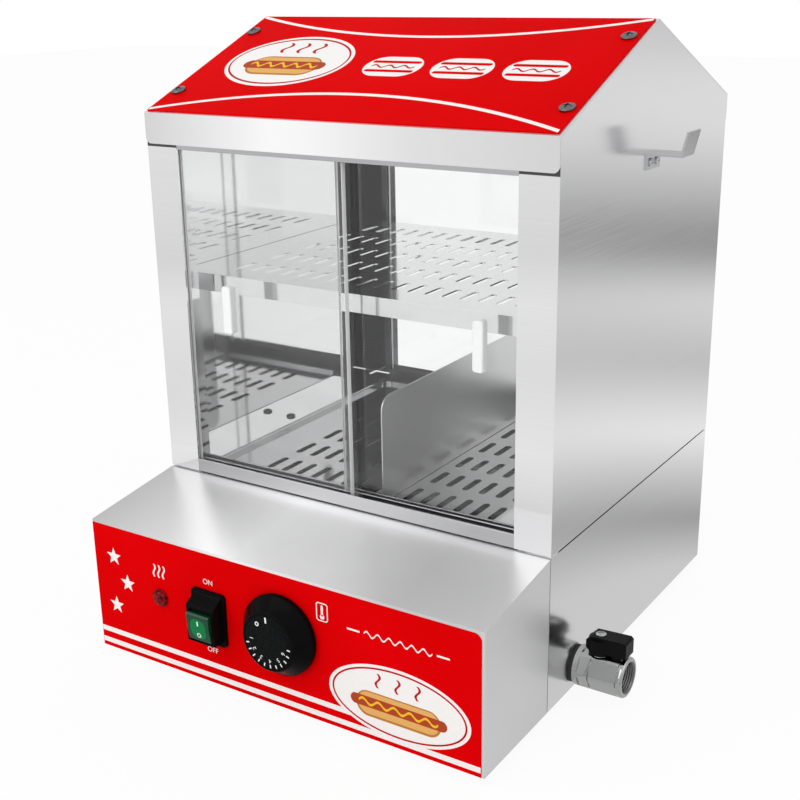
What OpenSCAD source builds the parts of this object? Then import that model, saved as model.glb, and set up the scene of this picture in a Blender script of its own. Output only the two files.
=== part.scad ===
// Countertop steamer cabinet with a sloped control box, a glazed two-level
// warming cabinet under a gable roof, a water tank and a side drain valve.
// Millimetres. X runs to the right, Y from the front to the rear, Z up.
// The origin is at the bottom centre of the whole object.

/* [Housing] */
// Width over the side walls
body_w = 300; // [280:5:360]
// Depth from the front panel to the rear wall
body_d = 343; // [325:1:400]
// Thickness of the stainless sheet
sheet = 1; // [0.8:0.1:1.2]
// Height of the base housing above the feet
base_h = 105; // [102:1:130]
// Width of the small folded lips along sheet edges
lip_w = 12; // [10:1:15]
// Corner radius of pressed openings
press_r = 10; // [7:1:14]
// How far the tank rim stays back from the outer walls, which leaves a dark seam
seam_inset = 4; // [2:0.5:4.5]
// Open width of the upright seam behind the control box
seam_w = 0.8; // [0.5:0.1:1.5]

/* [Control box] */
// Depth of the control box in front of the cabinet
ledge_d = 80; // [76:1:100]
// Height of its front panel
panel_h = 94; // [88:1:100]
// Thickness of the printed front label
label_t = 0.3; // [0.2:0.1:0.6]
// Bare metal left at the top and right of the label
label_edge = 2; // [1:0.5:4]
// Corner radius of the label
label_r = 5; // [2:0.5:8]
// Length of the tongue that joins the control box to the base
tongue = 10; // [6:1:14]

/* [Cabinet] */
// Height of the cabinet walls from the deck to the eaves
cabinet_h = 247; // [230:1:300]
// Rise of the gable roof from eaves to ridge
ridge_rise = 55; // [35:1:75]
// Width of the upright posts folded from the side walls
post_w = 25; // [20:1:32]
// Height of the fascia along the eaves
fascia_h = 20; // [16:1:30]
// Rounding of the fascia's lower corners
fascia_r = 4; // [2:0.5:8]
// Width of the sloping flange that carries the roof
roof_flange = 17; // [14:1:22]
// Thickness of the sign plate on the front slope
sign_t = 1; // [0.8:0.1:2]
// Width left bare round the sign plate
sign_edge = 1.5; // [1:0.5:4]
// Inset of the cabinet's floor screws from the side walls
deck_screw_in = 12.5; // [8:0.5:14]
// Inset of the roof screws from the side walls
roof_screw_in = 8.5; // [7:0.5:12]
// Distance of the lower roof screws from the eaves, along the slope
roof_screw_low = 28; // [20:1:40]
// Distance of the upper roof screws from the ridge, along the slope
roof_screw_high = 27; // [20:1:40]

/* [Doors] */
// Thickness of the door glass
glass_t = 4; // [3:0.5:5]
// Free play of the glass across its groove
groove_play = 1; // [0.6:0.1:1.4]
// Thickness of the track walls
track_wall = 1.5; // [1:0.1:2]
// Height of the bottom tracks
sill_h = 9; // [7:0.5:14]
// Thickness of the floor of a bottom track
sill_floor = 2; // [1:0.5:3]
// Height of the top tracks
head_h = 14; // [12:1:18]
// How far the top tracks hang below the edge of the fascia
head_drop = 3; // [1:0.5:6]
// Gap between the glass and the floor of its groove
glide_gap = 0.2; // [0.1:0.05:0.4]
// Lift room above the glass in the top track
lift_room = 3; // [2:0.5:4]
// Overlap of the two doors of a pair
door_overlap = 9; // [5:0.5:20]
// Gap between a closed door and its post
door_gap = 0.5; // [0.3:0.1:2]
// Corner radius of the glass
glass_r = 1.5; // [1:0.5:3]
// Width of a door handle
handle_w = 7.5; // [6:0.5:14]
// Height of a door handle
handle_h = 32; // [24:1:50]
// Thickness of a door handle
handle_t = 6.5; // [5:0.5:9]
// Distance from the left post to the middle of its door's handle
handle_in_left = 38; // [20:1:45]
// Distance from the right post to the middle of its door's handle
handle_in_right = 27; // [20:1:30]
// Height of the handle's middle above the deck
handle_up = 122; // [80:1:160]
// Height of the rear handles' middle above the deck
rear_handle_up = 112; // [80:1:160]

/* [Shelf and trays] */
// Height of the upper shelf's top above the deck
shelf_up = 138; // [120:1:160]
// Height of the shelf's folded front and rear edges
shelf_lip = 12; // [8:1:16]
// Gap between the shelf and the side walls
shelf_gap = 0.5; // [0.3:0.1:2]
// Gap from the tracks to the shelf's front and rear edges
shelf_in = 8; // [4:1:14]
// Width of the angle rails that carry the shelf
rail_w = 10; // [8:1:14]
// Clear run at each end of a rail
rail_end = 6; // [4:1:12]
// Distance between slot centres across the cabinet
slot_step = 12.8; // [11:0.1:16]
// Distance between slot rows of the shelf
shelf_row = 38.7; // [34:0.1:44]
// Length of a slot in the shelf
shelf_slot = 21; // [16:1:26]
// Width of a slot in the shelf
shelf_slot_w = 4; // [3:0.5:5]
// Number of slots across the shelf
shelf_cols = 19; // [9:2:19]
// Number of slot rows in the shelf
shelf_rows = 5; // [3:1:5]
// Distance between slot rows of the lower tray
tray_row = 34; // [30:0.5:36]
// Length of a slot in the lower tray
tray_slot = 22; // [16:1:26]
// Width of a slot in the lower tray
tray_slot_w = 5; // [3:0.5:6]
// Number of slots across the lower tray
tray_cols = 15; // [7:2:15]
// Number of slot rows in the lower tray
tray_rows = 6; // [3:1:6]
// Gap between the lower tray and the edge of the tank opening
tray_gap = 1; // [0.5:0.1:2]
// Height of the lower tray's upturned rim
tray_rim = 3.5; // [2:0.5:5]
// Height of the movable divider
divider_h = 73; // [50:1:90]
// Corner radius of the divider
divider_r = 10; // [4:1:20]
// Width of the divider's foot
divider_foot = 12; // [8:1:20]
// Rest place of the divider's face, to the right of the middle
divider_x = 16.5; // [0:0.5:60]

/* [Water tank] */
// Width of the flat band beside the tank opening
band_w = 23; // [21:0.5:30]
// Width of the flat band between a track and the tank opening
band_d = 6; // [4:0.5:10]
// Drop from the band to the ledge that carries the tray
ledge_drop = 3; // [2:0.5:5]
// Width of that ledge
ledge_w = 7; // [5:0.5:10]
// Depth of the water tank below the ledge
tank_depth = 54; // [40:1:58]

/* [Heater] */
// Diameter of the tubular heating element
element_d = 8; // [6:0.5:8.5]
// Distance between the legs of the element
element_span = 100; // [60:1:160]
// Height of the element above the tank floor
element_up = 9; // [8:0.5:14]
// Gap between the element's bend and the tank's rear wall
element_end = 20; // [10:1:60]
// Length of the element's cold ends outside the tank
element_tail = 16; // [14:0.5:18]
// Thickness of the element's nuts
element_nut_t = 7; // [5:0.5:9]
// Thickness of the gaskets under the element's nuts
element_seal_t = 1.5; // [1:0.1:2]
// Length of the element's terminal pins
pin_l = 6; // [4:0.5:8]
// Diameter of the element's terminal pins
pin_d = 3; // [2.5:0.5:4]
// Diameter of the temperature bulb
bulb_d = 6; // [4:0.5:7]
// Length of the temperature bulb inside the tank
bulb_l = 80; // [50:1:120]
// Diameter of the capillary tube
capillary_d = 2; // [1.5:0.5:3]

/* [Knob and thermostat] */
// Place of the knob to the right of the middle
knob_x = 7.5; // [-6:0.5:10]
// Height of the knob's middle above the base's lower edge
knob_z = 53; // [45:0.5:55]
// Diameter of the knob's skirt
knob_d = 54; // [48:1:56]
// Diameter of the knob's face
knob_face_d = 38; // [34:1:42]
// How far the knob stands out of the front panel
knob_out = 14.5; // [14.5:0.5:24]
// Gap between the knob's skirt and the label
knob_gap = 0.7; // [0.4:0.1:2]
// Wall of the hollow knob
knob_wall = 3; // [2:0.5:4]
// Diameter of the thermostat shaft
shaft_d = 6; // [5:0.5:7]
// Radial clearance of turning fits
fit_gap = 0.05; // [0.03:0.01:0.08]
// Width of the thermostat case
stat_w = 44; // [40:1:50]
// Height of the thermostat case
stat_h = 36; // [30:1:40]
// Depth of the thermostat case
stat_d = 26; // [22:1:30]
// Distance between the thermostat's fixing screws
stat_pitch = 28; // [26:0.5:30]

/* [Switch and lamp] */
// Place of the switch to the left of the middle
switch_x = 50; // [44:0.5:54]
// Height of the switch's middle above the base's lower edge
switch_z = 48.5; // [40:0.5:55]
// Width of the switch frame
switch_w = 27.5; // [26.5:0.5:32]
// Height of the switch frame
switch_h = 37; // [34:0.5:40]
// Width of the frame's rim outside the switch body
switch_rim = 3.5; // [3:0.1:4]
// Depth of the switch body behind the front panel
switch_depth = 21; // [16:1:26]
// How far the rocker stands out of the label
switch_out = 12; // [11:0.5:12.5]
// Width of the rocker
rocker_w = 18; // [16:0.5:20]
// Height of the rocker
rocker_h = 20; // [18:0.5:21.5]
// Distance of the rocker's middle below the middle of the frame
rocker_low = 2.6; // [1.5:0.1:2.8]
// Tilt of the rocker to each side of level
rocker_tilt = 7; // [4:0.5:8]
// Place of the pilot lamp to the left of the middle
lamp_x = 92.4; // [84:0.1:110]
// Height of the lamp's middle above the base's lower edge
lamp_z = 50.7; // [40:0.1:60]
// Diameter of the lamp's lens
lamp_d = 12.5; // [10:0.5:15]
// How far the lens stands out of the label
lamp_out = 4; // [3:0.5:6]
// Depth of the lamp's body behind the front panel
lamp_depth = 20; // [14:0.5:26]

/* [Drain] */
// Distance of the drain axis behind the tank's front wall
drain_in = 13; // [12:0.5:40]
// Height of the drain axis above the base's lower edge
drain_z = 15; // [14:0.5:18]
// Place of the tank outlet to the right of the middle
drain_x = 100; // [80:1:104]
// Outer diameter of the drain pipe, a half-inch pipe thread
pipe_d = 20.4; // [18:0.2:21]
// Bore of the drain pipe
pipe_bore = 14; // [12:0.5:15]
// Centreline radius of the pipe's elbow
elbow_r = 14; // [12:0.5:18]
// Thickness of the gasket behind the valve
gasket_t = 2; // [1:0.5:3]
// Length of the valve body and its end piece together
valve_l = 34; // [33.5:0.5:42]
// Diameter of the valve's end rings
valve_ring_d = 26.4; // [26.2:0.2:32]
// Distance across the flats of the valve's hexagon
valve_af = 24; // [23.8:0.2:26]
// Width of an end ring
valve_ring_l = 4; // [3.5:0.5:5]
// Distance of the turned groove in the valve body from the inlet face
valve_groove_in = 11; // [9.5:0.5:12]
// Outer radius of the screwed-in outlet piece
insert_r = 11; // [10.8:0.1:11.4]
// Thickness of the seats on both sides of the ball
seat_t = 3.8; // [3.5:0.1:4.2]
// Distance of the valve stem from the inlet face
stem_in = 14.5; // [14:0.5:15.5]
// Diameter of the valve ball
ball_d = 15; // [14:0.5:15.5]
// Diameter of the ball's port
port_d = 10; // [8:0.5:10.5]
// Radius of the thread's crests in the outlet
outlet_r = 9.3; // [8.5:0.1:9.8]
// Length of the outlet thread
outlet_l = 10; // [8:0.5:10]
// Diameter of the valve stem
stem_d = 6; // [5:0.5:6.5]
// Rise of the stem boss above the valve's flat
boss_rise = 0.7; // [0.4:0.1:1.2]
// Length of the lever in front of the stem
lever_reach = 19.5; // [16:0.5:26]
// Length of the lever behind the stem
lever_back = 7.5; // [6.5:0.5:10]
// Width of the lever
lever_w = 12; // [11:0.5:14]
// Gap between the lever and the valve's end rings
lever_clear = 2.2; // [2:0.1:4]
// Thickness of the lever
lever_t = 11; // [9:0.5:16]

/* [Hook, gland and feet] */
// Distance of the tong hook's front edge behind the front panel
hook_y = 199; // [150:1:220]
// Width of the hook
hook_w = 21; // [16:1:30]
// Height of the hook's tray above the deck
hook_up = 222; // [180:1:225]
// How far the hook stands out of the side wall
hook_out = 23; // [16:1:30]
// Length of the hook's upturned lip
hook_lip = 16; // [10:1:22]
// Lean of the lip away from the wall
hook_lean = 14; // [0:1:25]
// Height of the hook's wall flange
hook_flange = 9; // [8:0.5:14]
// Thickness of the hook
hook_t = 1.2; // [1:0.1:2]
// Thread diameter of the hook's screws
hook_screw_d = 3; // [2.5:0.5:3.5]
// Head diameter of the hook's screws
hook_head = 5.4; // [5:0.2:6.4]
// Head height of the hook's screws
hook_head_h = 1.8; // [1.4:0.1:2.2]
// Inset of the cable gland from the left wall
gland_in = 50; // [30:1:90]
// Height of the gland above the base's lower edge
gland_z = 34; // [26:1:60]
// Thread diameter of the gland
gland_d = 16; // [16:1:20]
// Cable bore of the gland
gland_bore = 8; // [6:0.5:9]
// How far the gland stands out of the rear wall
gland_out = 16; // [14:1:22]
// Length of the gland's thread inside the housing
gland_thread = 10; // [7:0.5:14]
// Thickness of the gland's nut
gland_nut_t = 4; // [3:0.5:6]
// Height of the rubber feet
foot_h = 6; // [5:0.5:10]
// Diameter of the rubber feet
foot_d = 24; // [20:1:30]
// Inset of the feet from the side walls
foot_in = 35; // [30:1:45]
// Inset of the feet from the front and the rear
foot_in_y = 40; // [30:1:50]

/* [Screws] */
// Thread diameter of the small machine screws
screw_d = 4; // [3.5:0.5:4.5]
// Head diameter of the small screws
screw_head = 7; // [6.5:0.5:7.5]
// Head height of the small screws
screw_head_h = 2.2; // [1.8:0.1:2.5]
// Clearance of screw holes, on the diameter
hole_play = 0.4; // [0.2:0.1:0.6]
// Thread diameter of the roof screws
roof_screw_d = 5; // [4:0.5:6]
// Head diameter of the roof screws
roof_head = 9.6; // [8:0.2:10.4]
// Head height of the roof screws
roof_head_h = 2.6; // [2:0.1:3.2]

/* [Hidden] */
$fn = 48;

// Levels
half_w = body_w / 2;
z_base = foot_h;
z_seam = z_base + base_h;
z_deck = z_seam + sheet;
z_band = z_deck + sheet;
z_eave = z_deck + cabinet_h;
z_ridge = z_eave + ridge_rise;
z_fascia = z_eave - fascia_h;
y_ridge = (ledge_d + body_d) / 2;

// Roof
y_eave = ledge_d - sheet;
slope = atan2(ridge_rise, y_ridge - y_eave);
slope_l = norm([ridge_rise, y_ridge - y_eave]);
roof_tv = sheet / cos(slope);
function roof_under(y) = z_eave - roof_tv + (y - y_eave) * tan(slope);

// Tracks and doors
groove = glass_t + groove_play;
track_d = 3 * track_wall + 2 * groove;
y_track = ledge_d + track_d;
open_w = body_w - 2 * post_w;
half_open = open_w / 2;
z_glass = z_deck + sill_floor + glide_gap;
z_head = z_fascia - head_drop;
z_glass_top = z_head + head_h - sill_floor - lift_room;
glass_h = z_glass_top - z_glass;
door_w = (open_w + door_overlap) / 2 - door_gap;
door_x = half_open - door_gap - door_w;
y_glass_out = ledge_d + track_wall + groove_play / 2;
y_glass_in = y_glass_out + groove + track_wall;

// Tank and trays
well_w = body_w - 2 * band_w;
y_well = y_track + band_d;
well_d = 2 * (y_ridge - y_well);
z_ledge = z_deck - ledge_drop;
tank_w = well_w - 2 * ledge_w;
tank_d = well_d - 2 * ledge_w;
z_tank = z_ledge - tank_depth;
y_tank = y_well + ledge_w;
tank_r = press_r - sheet;
z_shelf = z_deck + shelf_up;
y_shelf = y_track + shelf_in;
shelf_d = 2 * (y_ridge - y_shelf);
shelf_w = body_w - 2 * sheet - 2 * shelf_gap;
z_tray = z_ledge + sheet;

// Drain line
z_drain = z_base + drain_z;
drain_y = y_tank + drain_in;
x_valve = half_w + gasket_t;
x_valve_end = x_valve + valve_l;
x_stem = x_valve + stem_in;
ring_r = valve_ring_d / 2;
ball_r = ball_d / 2;
chamber_r = ball_r + 1;
socket_l = stem_in - ball_r - 1;
x_seat_in = x_valve + socket_l;
x_joint = x_valve_end - valve_ring_l;
x_seat_out = x_stem + ball_r + 1;
hub_r = lever_w / 2 + 1.5;
boss_up = valve_af / 2 + boss_rise;
lever_low = ring_r + lever_clear;
lever_top = lever_low + lever_t;
// Depth of the cap's recess for the lever screw
recess_t = 1.6;

// Electrical parts
z_knob = z_base + knob_z;
z_switch = z_base + switch_z;
z_pivot = z_switch - rocker_low;
body_cut_w = switch_w - 2 * switch_rim;
body_cut_h = switch_h - 2 * switch_rim - 1;
z_lamp = z_base + lamp_z;
x_gland = gland_in - half_w;
y_stat = sheet + stat_d;
z_element = z_tank + element_up;
element_r = element_span / 2;
y_element = y_tank + tank_d - element_end - element_d / 2 - element_r;
y_tail = y_tank - sheet - element_tail;
x_bulb = knob_x;
end_gap = 0.3;
tab_l = 8;
tab_t = 0.8;
tab_w = 6.3;
wire_r = 1.1;
flange_t = 2;
y_pivot = -label_t - 6;
pin_r = 1.5;
block = [40, 20, 16];
block_at = [-60, 40];
block_step = 12;
block_y = 4;

// Reach of the whole object, which places its origin
reach_front = max(knob_out, label_t + switch_out + 2);
reach_back = body_d + gland_out;
origin_x = (x_valve_end - half_w) / 2;
origin_y = (reach_back - reach_front) / 2;

// Shared helpers

module placed() {
    translate([-origin_x, -origin_y, 0]) children();
}

// Outline drawn in Y and Z, extruded along X about the middle
module along_x(w) {
    rotate([90, 0, 90]) linear_extrude(height = w, center = true) children();
}

// Outline drawn in X and Z, extruded from y0 by d towards the rear
module along_y(y0, d) {
    translate([0, y0 + d, 0]) rotate([90, 0, 0]) linear_extrude(height = d) children();
}

module front_to_rear() {
    translate([0, 2 * y_ridge, 0]) mirror([0, 1, 0]) children();
}

module left_and_right() {
    children();
    mirror([1, 0, 0]) children();
}

// Rectangle with round corners, its lower left corner at the origin
module round_rect(w, d, r) {
    translate([r, 0]) square([w - 2 * r, d]);
    translate([0, r]) square([w, d - 2 * r]);
    for (x = [r, w - r], y = [r, d - r]) translate([x, y]) circle(r = r);
}

module centred_rect(w, d, r) {
    translate([-w / 2, -d / 2]) round_rect(w, d, r);
}

// Flat plate or opening above the tank, centred on the cabinet
module tank_plate(w, d, r, z, t) {
    translate([0, y_ridge, z]) linear_extrude(height = t) centred_rect(w, d, r);
}

module slot(l, w) {
    square([w, l - w], center = true);
    for (s = [-1, 1]) translate([0, s * (l - w) / 2]) circle(d = w);
}

module slot_field(cols, rows, row_step, l, w) {
    for (i = [0 : cols - 1], j = [0 : rows - 1])
        translate([(i - (cols - 1) / 2) * slot_step, (j - (rows - 1) / 2) * row_step])
            slot(l, w);
}

// Pan head with a cross recess, its seat at the origin
module pan_head(head_d, head_h) {
    dome_r = (pow(head_d / 2, 2) + pow(head_h, 2)) / (2 * head_h) * 1.6;
    difference() {
        intersection() {
            cylinder(h = head_h, d = head_d);
            translate([0, 0, head_h - dome_r]) sphere(r = dome_r);
        }
        for (a = [0, 90])
            rotate(a) translate([-head_d * 0.28, -head_d * 0.06, head_h * 0.45])
                cube([head_d * 0.56, head_d * 0.12, head_h]);
    }
}

module pan_screw(d, l, head_d, head_h) {
    pan_head(head_d, head_h);
    translate([0, 0, -l]) cylinder(h = l, d = d);
}

module hex_nut(d, af, t) {
    difference() {
        cylinder(h = t, d = af / cos(30), $fn = 6);
        translate([0, 0, -1]) cylinder(h = t + 2, d = d);
    }
}

module rod(p, q, r) {
    v = q - p;
    translate(p) rotate([0, acos(v[2] / norm(v)), atan2(v[1], v[0])])
        cylinder(h = norm(v), r = r, $fn = 24);
}

// Places on the front slope, s mm up from the eaves, with +Z out of the roof
module on_front_slope(x, s) {
    translate([x, y_eave + s * cos(slope), z_eave + s * sin(slope)])
        rotate([slope, 0, 0]) children();
}

module at_roof_screws() {
    for (s = [roof_screw_low, slope_l - roof_screw_high], side = [-1, 1])
        on_front_slope(side * (half_w - roof_screw_in), s) children();
}

module at_deck_screws() {
    for (side = [-1, 1])
        translate([side * (half_w - deck_screw_in), y_ridge - 7, 0]) children();
}

module at_feet() {
    for (side = [-1, 1], y = [foot_in_y, body_d - foot_in_y])
        translate([side * (half_w - foot_in), y, 0]) children();
}

module at_plate_screws() {
    for (side = [-1, 1], y = [ledge_d + lip_w, body_d - 2 * lip_w])
        translate([side * (half_w - sheet - lip_w / 2), y, 0]) children();
    for (side = [-1, 1])
        translate([side * half_w / 3, sheet + lip_w / 2, 0]) children();
}

module at_stat_screws() {
    for (s = [-1, 1])
        translate([knob_x + s * stat_pitch / 2, 0, z_knob]) rotate([90, 0, 0]) children();
}

module at_hook_screws() {
    for (s = [-1, 1])
        translate([half_w, hook_y + hook_w / 2 + s * hook_w / 4, z_deck + hook_up - hook_flange / 2])
            rotate([0, 90, 0]) children();
}

// Base housing

module base_shell() {
    placed() color("#c9cbcc") difference() {
        union() {
            difference() {
                translate([-half_w, ledge_d, z_base]) cube([body_w, body_d - ledge_d, base_h]);
                translate([-half_w + sheet, ledge_d + sheet, z_base - 1])
                    cube([body_w - 2 * sheet, body_d - ledge_d - 2 * sheet, base_h + 1 - sheet]);
            }
            base_lips();
            joining_tongue();
        }
        tank_plate(well_w + 2 * sheet, well_d + 2 * sheet, press_r + sheet, z_seam - 2 * sheet, 4 * sheet);
        bulkhead_window();
        translate([-half_w + sheet, ledge_d - 1, z_base - 1])
            cube([body_w - 2 * sheet, sheet + 2, sheet + 1]);
        translate([x_gland, body_d + 1, z_base + gland_z]) rotate([90, 0, 0])
            cylinder(h = sheet + 2, d = gland_d + hole_play);
        translate([half_w - sheet - 1, drain_y, z_drain]) rotate([0, 90, 0])
            cylinder(h = sheet + 2, d = pipe_d + hole_play);
        translate([0, 0, z_seam - sheet - 1]) at_deck_screws() cylinder(h = sheet + 2, d = screw_d + hole_play);
        translate([0, 0, z_base]) at_plate_screws() cylinder(h = 3 * sheet, d = screw_d + hole_play);
    }
}

// Folded lips that carry the bottom plate
module base_lips() {
    left_and_right() translate([half_w - sheet - lip_w, ledge_d + sheet, z_base + sheet])
        cube([lip_w, body_d - ledge_d - 2 * sheet, sheet]);
    translate([-half_w + sheet, body_d - sheet - lip_w, z_base + sheet])
        cube([body_w - 2 * sheet, lip_w, sheet]);
}

// Open window for the wires between the control box and the tank space
module bulkhead_window() {
    translate([-half_w + 3 * lip_w, ledge_d - 1, z_base + 2 * lip_w])
        cube([body_w - 6 * lip_w, sheet + 2, base_h - 5 * lip_w]);
}

// Inside of the control box, drawn in Y and Z and shrunk by t
module box_inside(t) {
    top_rise = (z_seam - z_base - panel_h) / ledge_d;
    polygon([
        [sheet + t, z_base - 1],
        [sheet + t, z_base + panel_h - sheet - t + top_rise * sheet],
        [ledge_d, z_seam - sheet - t],
        [ledge_d, z_base - 1]
    ]);
}

module joining_tongue() {
    difference() {
        intersection() {
            along_x(body_w - 2 * sheet) box_inside(0);
            translate([-half_w, ledge_d - tongue, z_base + 2 * sheet])
                cube([body_w, tongue, base_h]);
        }
        along_x(body_w - 4 * sheet) box_inside(sheet);
    }
}

module bottom_plate() {
    placed() color("#b9bbbd") difference() {
        translate([-half_w + sheet, sheet, z_base])
            cube([body_w - 2 * sheet, body_d - 2 * sheet, sheet]);
        translate([0, 0, z_base - 1]) at_feet() cylinder(h = sheet + 2, d = screw_d + hole_play);
        translate([0, 0, z_base - 1]) at_plate_screws() cylinder(h = sheet + 2, d = screw_d + hole_play);
    }
}

// The same small screw holds the bottom plate and the feet
module base_screws() {
    placed() color("#a5a7a9") {
        translate([0, 0, z_base]) at_plate_screws() rotate([180, 0, 0])
            pan_screw(screw_d, 3 * screw_d, screw_head, screw_head_h);
        translate([0, 0, foot_h / 2]) at_feet() rotate([180, 0, 0])
            pan_screw(screw_d, 3 * screw_d, screw_head, screw_head_h);
    }
}

module rubber_feet() {
    placed() color("#26272a") at_feet() difference() {
        cylinder(h = foot_h, d = foot_d);
        translate([0, 0, -1]) cylinder(h = foot_h + 2, d = screw_d + hole_play);
        translate([0, 0, -1]) cylinder(h = foot_h / 2 + 1, d = screw_head + 2 * hole_play);
    }
}

module foot_nuts() {
    placed() color("#a5a7a9") translate([0, 0, z_base + sheet]) at_feet()
        hex_nut(screw_d, screw_head, 0.8 * screw_d);
}

// Control box

module control_box() {
    placed() color("#d3d5d6") difference() {
        union() {
            difference() {
                along_x(body_w) box_outside();
                along_x(body_w - 2 * sheet) box_inside(0);
            }
            box_lips();
        }
        panel_cuts(sheet + 1);
        translate([0, 0, z_base]) at_plate_screws() cylinder(h = 3 * sheet, d = screw_d + hole_play);
    }
}

module box_outside() {
    top_rise = (z_seam - z_base - panel_h) / ledge_d;
    polygon([
        [0, z_base],
        [0, z_base + panel_h],
        [ledge_d - seam_w, z_seam - top_rise * seam_w],
        [ledge_d - seam_w, z_base]
    ]);
}

module box_lips() {
    translate([-half_w + sheet, sheet, z_base + sheet]) cube([body_w - 2 * sheet, lip_w, sheet]);
    left_and_right() translate([half_w - sheet - lip_w, sheet, z_base + sheet])
        cube([lip_w, ledge_d - seam_w - sheet, sheet]);
}

// Openings of the front panel, cut from just before the sheet to depth d
module panel_cuts(d) {
    translate([knob_x, d, z_knob]) rotate([90, 0, 0]) cylinder(h = d + 1, d = shaft_d + 2);
    translate([0, sheet + 1, 0]) at_stat_screws() cylinder(h = d + 1, d = screw_d + hole_play);
    along_y(-1, d + 1) translate([-switch_x, z_switch])
        square([body_cut_w, body_cut_h], center = true);
    translate([-lamp_x, d, z_lamp]) rotate([90, 0, 0]) cylinder(h = d + 1, d = lamp_d - 2);
}

module front_label() {
    placed() color("#d3121a") difference() {
        along_y(-label_t, label_t) label_outline();
        translate([knob_x, 1, z_knob]) rotate([90, 0, 0])
            cylinder(h = 3, d = stat_pitch + screw_head + 1);
        along_y(-2, 3) translate([-switch_x, z_switch])
            square([body_cut_w + 1, body_cut_h + 1], center = true);
        translate([-lamp_x, 1, z_lamp]) rotate([90, 0, 0]) cylinder(h = 3, d = lamp_d - 1.5);
    }
}

// Square corners, apart from the rounded one at the top right
module label_outline() {
    difference() {
        translate([-half_w, z_base]) square([body_w - label_edge, panel_h - label_edge]);
        translate([half_w - label_edge - label_r, z_base + panel_h - label_edge - label_r]) difference() {
            square([label_r + 1, label_r + 1]);
            circle(r = label_r);
        }
    }
}

// Water tank and trays

module water_tank() {
    rim_w = body_w - 2 * seam_inset;
    rim_d = body_d - ledge_d - 2 * seam_inset;
    placed() color("#bfc2c4") difference() {
        union() {
            translate([-rim_w / 2, y_ridge - rim_d / 2, z_seam]) cube([rim_w, rim_d, sheet]);
            tank_plate(well_w + 2 * sheet, well_d + 2 * sheet, press_r + sheet,
                z_ledge - sheet, ledge_drop);
            tank_plate(tank_w + 2 * sheet, tank_d + 2 * sheet, tank_r + sheet,
                z_tank - sheet, tank_depth);
        }
        tank_plate(well_w, well_d, press_r, z_ledge, ledge_drop + 1);
        tank_plate(tank_w, tank_d, tank_r, z_tank, tank_depth + 1);
        translate([drain_x, drain_y, z_tank - sheet - 1]) cylinder(h = sheet + 2, d = pipe_bore);
        at_element_legs() cylinder(h = 3 * sheet, d = element_d + hole_play, center = true);
        translate([x_bulb, y_tank - sheet / 2, z_element]) rotate([90, 0, 0])
            cylinder(h = 3 * sheet, d = bulb_d + hole_play, center = true);
        translate([0, 0, z_seam - 1]) at_deck_screws() cylinder(h = sheet + 2, d = screw_d + hole_play);
    }
}

// Axes of the element's legs where they cross the tank's front wall
module at_element_legs() {
    for (side = [-1, 1])
        translate([side * element_r, y_tank - sheet / 2, z_element]) rotate([90, 0, 0]) children();
}

module lower_tray() {
    tray_w = well_w - 2 * tray_gap;
    tray_d = well_d - 2 * tray_gap;
    placed() color("#c4c6c8") translate([0, y_ridge, z_ledge]) difference() {
        linear_extrude(height = tray_rim) centred_rect(tray_w, tray_d, tank_r);
        translate([0, 0, sheet]) linear_extrude(height = tray_rim)
            centred_rect(tray_w - 2 * sheet, tray_d - 2 * sheet, tank_r - sheet);
        translate([0, 0, -1]) linear_extrude(height = sheet + 2)
            slot_field(tray_cols, tray_rows, tray_row, tray_slot, tray_slot_w);
    }
}

// Loose partition that stands on the lower tray and slides sideways
module divider() {
    side_gap = tray_gap + sheet + 1;
    len_y = well_d - 2 * side_gap;
    placed() color("#8f9396") translate([divider_x - sheet, y_well + side_gap, z_tray + glide_gap]) {
        rotate([90, 0, 90]) linear_extrude(height = sheet) divider_outline(len_y);
        translate([-divider_foot, 0, 0]) cube([divider_foot + sheet / 2, len_y, sheet]);
    }
}

module divider_outline(l) {
    square([l, divider_h - divider_r]);
    translate([divider_r, 0]) square([l - 2 * divider_r, divider_h]);
    for (y = [divider_r, l - divider_r])
        translate([y, divider_h - divider_r]) circle(r = divider_r);
}

module upper_shelf() {
    placed() color("#c4c6c8") translate([0, y_ridge, z_shelf - sheet]) difference() {
        translate([-shelf_w / 2, -shelf_d / 2, sheet - shelf_lip]) cube([shelf_w, shelf_d, shelf_lip]);
        translate([-shelf_w / 2 - 1, -shelf_d / 2 + sheet, -shelf_lip])
            cube([shelf_w + 2, shelf_d - 2 * sheet, shelf_lip]);
        translate([0, 0, -1]) linear_extrude(height = sheet + 2)
            slot_field(shelf_cols, shelf_rows, shelf_row, shelf_slot, shelf_slot_w);
    }
}

// Angle rails welded to the side walls
module shelf_rails() {
    z_rail = z_shelf - sheet;
    placed() color("#aeb1b3") left_and_right()
        translate([0, y_shelf + rail_end, 0]) {
            translate([half_w - 2 * sheet, 0, z_rail - rail_w])
                cube([sheet, shelf_d - 2 * rail_end, rail_w]);
            translate([half_w - sheet - rail_w, 0, z_rail - sheet])
                cube([rail_w, shelf_d - 2 * rail_end, sheet]);
        }
}

// Cabinet

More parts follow.
